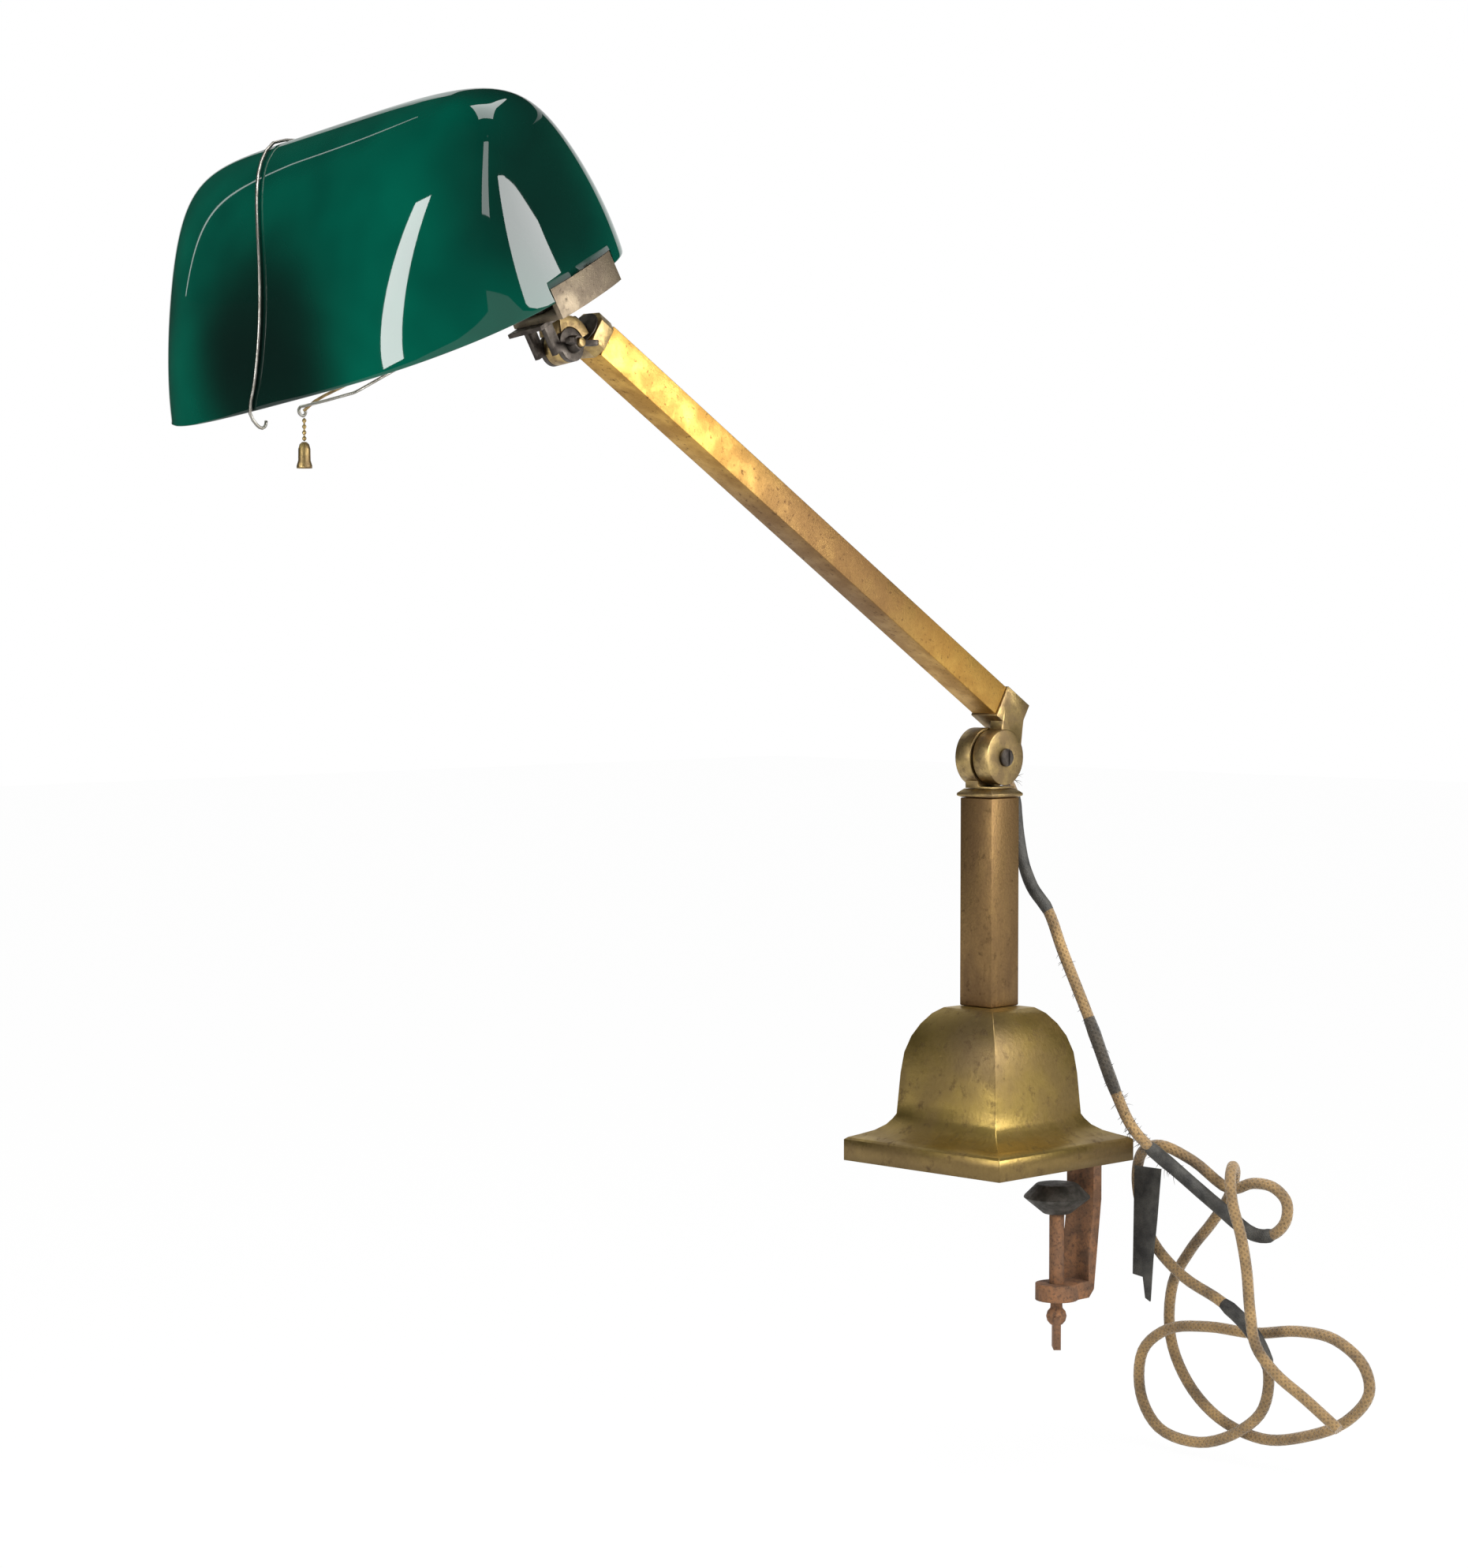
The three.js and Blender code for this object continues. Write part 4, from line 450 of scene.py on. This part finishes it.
# %% Tape wraps and loose threads
chance = np.random.RandomState(7)
THREAD_CORNERS = (0, 2.094, 4.189)  # a third of a turn apart, in radians
THREAD_TAPER = (0.5, 0.5, 0.4, 0.15)


def stretch(first, last):
    """The part of the cord's path from one point of its route to another."""
    return cord_path[ROUTE_STEPS * (first + BUSH_POINTS):ROUTE_STEPS * (last + BUSH_POINTS) + 1]


def wrap(name, first, last, thickness=0.5, material=None):
    path = stretch(first, last)
    lumps = np.convolve(chance.uniform(-0.5, 0.6, len(path) + 2), [0.3, 0.4, 0.3], "valid")
    radii = (CORD_MM / 2 + thickness + 0.7 * lumps) * MM
    radii[[0, -1]] = (CORD_MM / 2 + 0.1) * MM
    return tube(name, path, radii, 18, material or tape_black, "base")


def threads(name, places, count, reach_mm, thick_mm, material):
    """Loose threads that stand off the cord, each a thin bent strand of three sides."""
    points, faces = [], []
    for place in places:
        for _ in range(count):
            way = chance.normal(size=3)
            way /= np.linalg.norm(way)
            length = reach_mm * chance.uniform(0.5, 1.2) * MM
            bend = chance.normal(size=3) * length * 0.35
            start = np.array(place) + way * (CORD_MM / 2 - 0.6) * MM
            strand = [start + way * length * t + bend * t * t - np.array((0, 0, 0.3)) * length * t * t
                      for t in (0, 0.35, 0.7, 1)]
            first = len(points)
            for k, p in enumerate(strand):
                width = thick_mm * MM * THREAD_TAPER[k]
                side = np.cross(way, (0.31, 0.52, 0.79))
                side /= np.linalg.norm(side)
                up = np.cross(way, side)
                points += [p + width * (math.cos(a) * side + math.sin(a) * up) for a in THREAD_CORNERS]
            for k in range(3):
                low, high = first + 3 * k, first + 3 * k + 3
                for i in range(3):
                    j = (i + 1) % 3
                    faces.append((low + i, low + j, high + j, high + i))
            faces += [(first + 2, first + 1, first), (first + 9, first + 10, first + 11)]
    return piece(name, points, faces, material, "base")


cord_trim = [
    wrap("tape_by_knuckle", 0, 4, 0.4),
    wrap("tape_at_desk", 9, 13, 0.9),
    wrap("tape_on_strand", 26, 28, 1.0),
    wrap("frayed_sleeve", 6, 7, 0.5, dirty_cotton),
    threads("loose_threads", stretch(5, 8), 11, 3, 0.45, dirty_cotton),
    threads("worn_threads", [cord_path[1], cord_path[3], cord_path[5]], 12, 10, 0.4, dirty_cotton),
    threads("desk_threads", stretch(8, 10), 8, 4, 0.45, dirty_cotton),
]

# %% [markdown]
# ## The glass shade
# The shade was pressed in a mould: half an ellipse in section, with two nearly flat ends that lean in a
# little, and soft corners. The solid has the shape in flat facets. Here the same curves are followed in
# steps that are too fine to see, the rim is fire-polished round, and the inside has its own white skin.

# %% Glass shade
def turn(axis, degrees):
    return Matrix.Rotation(math.radians(degrees), 4, axis)


def shift(x, y, z):
    return Matrix.Translation((x * MM, y * MM, z * MM))


# Places on the solids: angles in degrees, and lengths in millimetres from the knuckle's pivot and the neck
ARM_ELEVATION, SWIVEL_ANGLE, TILT_ANGLE = 31.5, 9.6, 58.2
NECK_REACH, ARM_RISE = 415.6, 29.4
TILT_AHEAD, TILT_DROP = 10.6, 19
ARM = shift(0, 0, PIVOT_HEIGHT) @ turn("X", -ARM_ELEVATION)
HEAD = (ARM @ shift(0, -NECK_REACH, ARM_RISE) @ turn("Y", -SWIVEL_ANGLE)
        @ shift(0, -TILT_AHEAD, -TILT_DROP) @ turn("X", TILT_ANGLE))
FAR_HALF, NEAR_HALF, HALF_DEPTH, SHADE_HEIGHT, GLASS_WALL = 147.5, 140.7, 91.4, 121.2, 3.6
RIM, SHADE_OFFSET, END_X, NOTCH_HALF, NOTCH_HEIGHT = 28.5, 7.4, 30.6, 28.3, 8.3
RIM_ROUND = 1.2
# How the glass draws in towards its crown: rise, roundness and draft
NEAR_END, FAR_END, SIDES = (10.5, 4.3, 0), (8, 5, 0.22), (1.68, 1.62, 0.05)
# How square its outline is: the power at the rim, and what that gains up to the crown
NEAR_PLAN, FAR_PLAN = (2.53, 1.27), (3.8, -1.8)


def ease(share, rise, round_, draft):
    return (1 - draft * share) * max(0, 1 - share ** rise) ** (1 / round_)


def glass_point(share, inset, angle, drop=0.0):
    """A point of the glass in the head's own frame, in millimetres."""
    c, s = math.cos(angle), math.sin(angle)
    half, curve, (at_rim, gain) = (NEAR_HALF, NEAR_END, NEAR_PLAN) if c > 0 else (FAR_HALF, FAR_END, FAR_PLAN)
    plan = at_rim + gain * share
    reach = (half - inset) * ease(share, *curve)
    side = (HALF_DEPTH - inset) * ease(share, *SIDES)
    x = END_X - NEAR_HALF + reach * math.copysign(abs(c) ** (2 / plan), c)
    y = SHADE_OFFSET + side * math.copysign(abs(s) ** (2 / plan), s)
    return x, y, RIM + (SHADE_HEIGHT - inset) * share - drop


NOTCH_ANGLE = math.asin((NOTCH_HALF / HALF_DEPTH) ** (NEAR_PLAN[0] / 2))
angles = sorted([2 * math.pi * k / 180 + 0.001 for k in range(180)]
                + [a * side % (2 * math.pi) for a in (NOTCH_ANGLE, NOTCH_ANGLE + 0.002) for side in (1, -1)])
notch_share = NOTCH_HEIGHT / SHADE_HEIGHT
levels = [0, 0.02, 0.04, notch_share] + [math.sin(math.pi / 2 * k / 44) for k in range(3, 44)] + [0.9995]


def in_notch(angle):
    return math.cos(angle) > 0 and abs((angle + math.pi) % (2 * math.pi) - math.pi) < NOTCH_ANGLE + 0.001


def glass_loop(share, inset, drop=0.0):
    """One ring round the glass. Inside the notch the ring is lifted to the notch's upper edge."""
    ring = []
    for angle in angles:
        level = max(share, notch_share) if in_notch(angle) else share
        ring.append(HEAD @ (Vector(glass_point(level, inset, angle, drop)) * MM))
    return ring


outside = [glass_loop(share, 0) for share in levels[::-1]]
outside[-1] = glass_loop(0, 0, -RIM_ROUND)
LIP_TURNS = (0.4, 0.8, 1.2, math.pi / 2)
lip = [glass_loop(0, RIM_ROUND * (1 - math.cos(a)), -RIM_ROUND * (1 - math.sin(a))) for a in LIP_TURNS]
back_lip = [glass_loop(0, GLASS_WALL - RIM_ROUND * (1 - math.cos(a)), -RIM_ROUND * (1 - math.sin(a)))
            for a in LIP_TURNS[::-1]]
inside = [glass_loop(0, GLASS_WALL, -RIM_ROUND)] + [glass_loop(share, GLASS_WALL) for share in levels[1:]]
points, faces = loft(outside + lip + back_lip + inside)
shade = piece("pressed_glass", points, faces, green_outside, "head", ["glass_shade"])
shade.data.materials.append(white_inside)
first_inside = (len(outside) + len(lip) + len(back_lip)) * len(angles)
for face in shade.data.polygons:
    if min(face.vertices) >= first_inside:
        face.material_index = 1
shape = bmesh.new()
shape.from_mesh(shade.data)
bmesh.ops.remove_doubles(shape, verts=shape.verts, dist=0.000005)
shape.to_mesh(shade.data)
shape.free()
print("glass", len(shade.data.polygons), "faces")

# %% [markdown]
# ## Rounded edges on the solid parts
# No real casting or tube has a perfectly sharp edge, and a thin bright line along each edge is what tells
# the eye that it is metal. A weld joins the solid's faces, and a small bevel rounds its edges.

# %% Dress the solids
def dress(names, material, bevel_mm=0.3, segments=2, limit=30):
    for name in names.split():
        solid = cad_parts[name]
        solid.data.materials.clear()
        solid.data.materials.append(material)
        weld = solid.modifiers.new("weld", "WELD")
        weld.merge_threshold = 0.00002
        if bevel_mm:
            edge = solid.modifiers.new("rounded_edges", "BEVEL")
            edge.width = bevel_mm * MM
            edge.segments = segments
            edge.limit_method = "ANGLE"
            edge.angle_limit = math.radians(limit)
            edge.harden_normals = False
        solid.data.shade_smooth()
        solid.data.set_sharp_from_angle(angle=math.radians(limit))


dress("column_tube", dull_brass, 0.6)
dress("column_cap column_knuckle", worn_brass, 0.35)
dress("arm_knuckle arm_collar neck", worn_brass, 0.4)
dress("shade_bracket", grey_brass, 0.5)
dress("arm_tube", rubbed_brass, 0.5)
dress("tilt_bolt socket_cap socket_shell bulb_base chain_lead", worn_brass, 0.2)
dress("stem_pipe stem_nut cord_bush friction_washer pivot_screw pivot_nut swivel_screw swivel_washer",
      dark_steel, 0.2)
dress("tilt_fork wing_nut bracket_rivet_front bracket_rivet_rear", dark_steel, 0.3)
dress("socket_arm socket_nipple socket_nut chain_outlet", dark_steel, 0.3)
dress("clamp_frame clamp_screw", rusted_iron, 0.7)
dress("clamp_pad", dark_iron, 0.6)
dress("socket_insulator", vulcanised_fibre, 0.1)
dress("bulb_glass", clear_glass, 0)
dress("wire_bail", wire_steel, 0)
dress("pull_chain pull_bell", worn_brass, 0)
dress("tape_strip", tape_black, 0.2)
dress("bell_base", aged_brass, 0.5)

# %% [markdown]
# ## Floor and light
# A plain pale floor and backdrop, two tall soft lights that draw the long bright bands on the glass, and
# an even pale surrounding that metal and glass can reflect.

# %% Floor
FLOOR_GLOW = 0.975
FLOOR_HALF, FLOOR_HEIGHT = 8, -0.192


def seen_straight(tree):
    """1 for what is seen by the camera, in a gloss or through glass, and 0 for soft light."""
    path = add(tree, "LightPath")
    sharp = calculate(tree, "MAXIMUM", path.outputs["Is Glossy Ray"], path.outputs["Is Transmission Ray"])
    return calculate(tree, "MAXIMUM", path.outputs["Is Camera Ray"], sharp)


def floor_material():
    material, tree, shader, place = new_material("pale_floor")
    finish(tree, shader, Base_Color=colour("#f4f4f2"), Roughness=0.9)
    share = calculate(tree, "MULTIPLY", seen_straight(tree), FLOOR_GLOW)
    glow = add(tree, "Emission", {"Color": (1, 1, 1, 1), "Strength": 1.0})
    blend = add(tree, "MixShader", {0: share, 1: shader.outputs[0], 2: glow.outputs[0]})
    tree.links.new(blend.outputs[0], tree.nodes["Material Output"].inputs["Surface"])
    return material


corner_signs = ((-1, -1), (1, -1), (1, 1), (-1, 1))
floor_corners = [(x * FLOOR_HALF, y * FLOOR_HALF, FLOOR_HEIGHT) for x, y in corner_signs]
floor_mesh = bpy.data.meshes.new("floor")
floor_mesh.from_pydata(floor_corners, [], [(0, 1, 2, 3)])
floor_mesh.materials.append(floor_material())
floor = bpy.data.objects.new("floor", floor_mesh)
bpy.context.scene.collection.objects.link(floor)

# %% World and lamps
world = bpy.data.worlds.new("pale_room")
world.use_nodes = True
bpy.context.scene.world = world
tree = world.node_tree
background = tree.nodes["Background"]
SOFT_STRENGTH, SEEN_STRENGTH = 0.5, 1.0
strength = between(tree, seen_straight(tree), SOFT_STRENGTH, SEEN_STRENGTH)
tree.links.new(strength, background.inputs["Strength"])
background.inputs["Color"].default_value = (1, 1, 1, 1)


def soft_light(name, place, target, width, height, power):
    data = bpy.data.lights.new(name, "AREA")
    data.shape = "RECTANGLE"
    data.size, data.size_y, data.energy = width, height, power
    lamp = bpy.data.objects.new(name, data)
    lamp.location = place
    lamp.rotation_euler = (Vector(target) - Vector(place)).to_track_quat("-Z", "Y").to_euler()
    bpy.context.scene.collection.objects.link(lamp)


# The tall strip in front draws the first bright band on the glass, and the wide light at the right the
# second one, on the end wall. A thin strip far to the left draws the pale line along the ridge.
soft_light("front_strip", (-0.16, -1.00, 0.44), (-0.03, -0.45, 0.50), 0.11, 0.62, 4.5)
soft_light("right_panel", (0.98, 0.02, 0.58), (0.03, -0.40, 0.53), 0.75, 0.5, 17)
soft_light("ridge_strip", (-0.98, -0.64, 1.03), (-0.10, -0.45, 0.57), 0.014, 0.75, 0.11)
soft_light("overhead", (0.2, -0.3, 2.4), (0, -0.2, 0.2), 1.2, 1.2, 34)
soft_light("key_right", (1.9, -1.2, 1.2), (0, -0.1, 0.2), 0.5, 1.2, 12)

# %% [markdown]
# The glass looks deep because it reflects a dark room beside its bright bands. Black cards stand round the
# lamp and over it, as a photographer would set them for glass. Only reflections show them.

# %% Black cards
card_black = plain("black_card", "#0c0c0c", 0.9)
CARD_FOOT, CARD_TOP, LOW_CARD_TOP = 0.08, 2.6, 0.62


def dark_card(name, corners):
    """A black card that the gloss sees as a dark surrounding, and the camera not at all."""
    mesh = bpy.data.meshes.new(name)
    mesh.from_pydata(corners, [], [(0, 1, 2, 3)])
    mesh.materials.append(card_black)
    card = bpy.data.objects.new(name, mesh)
    bpy.context.scene.collection.objects.link(card)
    # The cards darken reflections alone, and leave the room's soft light as it is
    card.visible_diffuse = False
    card.visible_shadow = False
    card.visible_camera = False


def upright_card(name, first, last, low, high):
    """An upright card over a line on the floor, given by the line's two ends."""
    dark_card(name, [(*first, low), (*last, low), (*last, high), (*first, high)])


upright_card("card_left", (-1.35, -1.6), (-1.35, 0.0), CARD_FOOT, CARD_TOP)
upright_card("card_front", (-1.35, -1.6), (0.95, -1.6), CARD_FOOT, CARD_TOP)
upright_card("card_right", (1.9, -0.9), (1.9, 2.6), CARD_FOOT, CARD_TOP)
upright_card("card_back", (1.9, 2.6), (-1.1, 3.2), CARD_FOOT, CARD_TOP)
upright_card("card_behind_camera", (0.5, -2.7), (2.9, -0.9), -0.15, CARD_TOP)
upright_card("card_low_left", (-0.75, -1.15), (-0.75, -0.28), 0.04, LOW_CARD_TOP)
upright_card("card_low_front", (-0.75, -1.15), (1.25, -1.15), -0.1, LOW_CARD_TOP)
dark_card("card_above", [(-2.6, -2.4, CARD_TOP), (2.4, -2.4, CARD_TOP),
                         (2.4, 2.6, CARD_TOP), (-2.6, 2.6, CARD_TOP)])

# %% Finish
bpy.context.scene.view_settings.view_transform = "Standard"
bpy.context.view_layer.update()
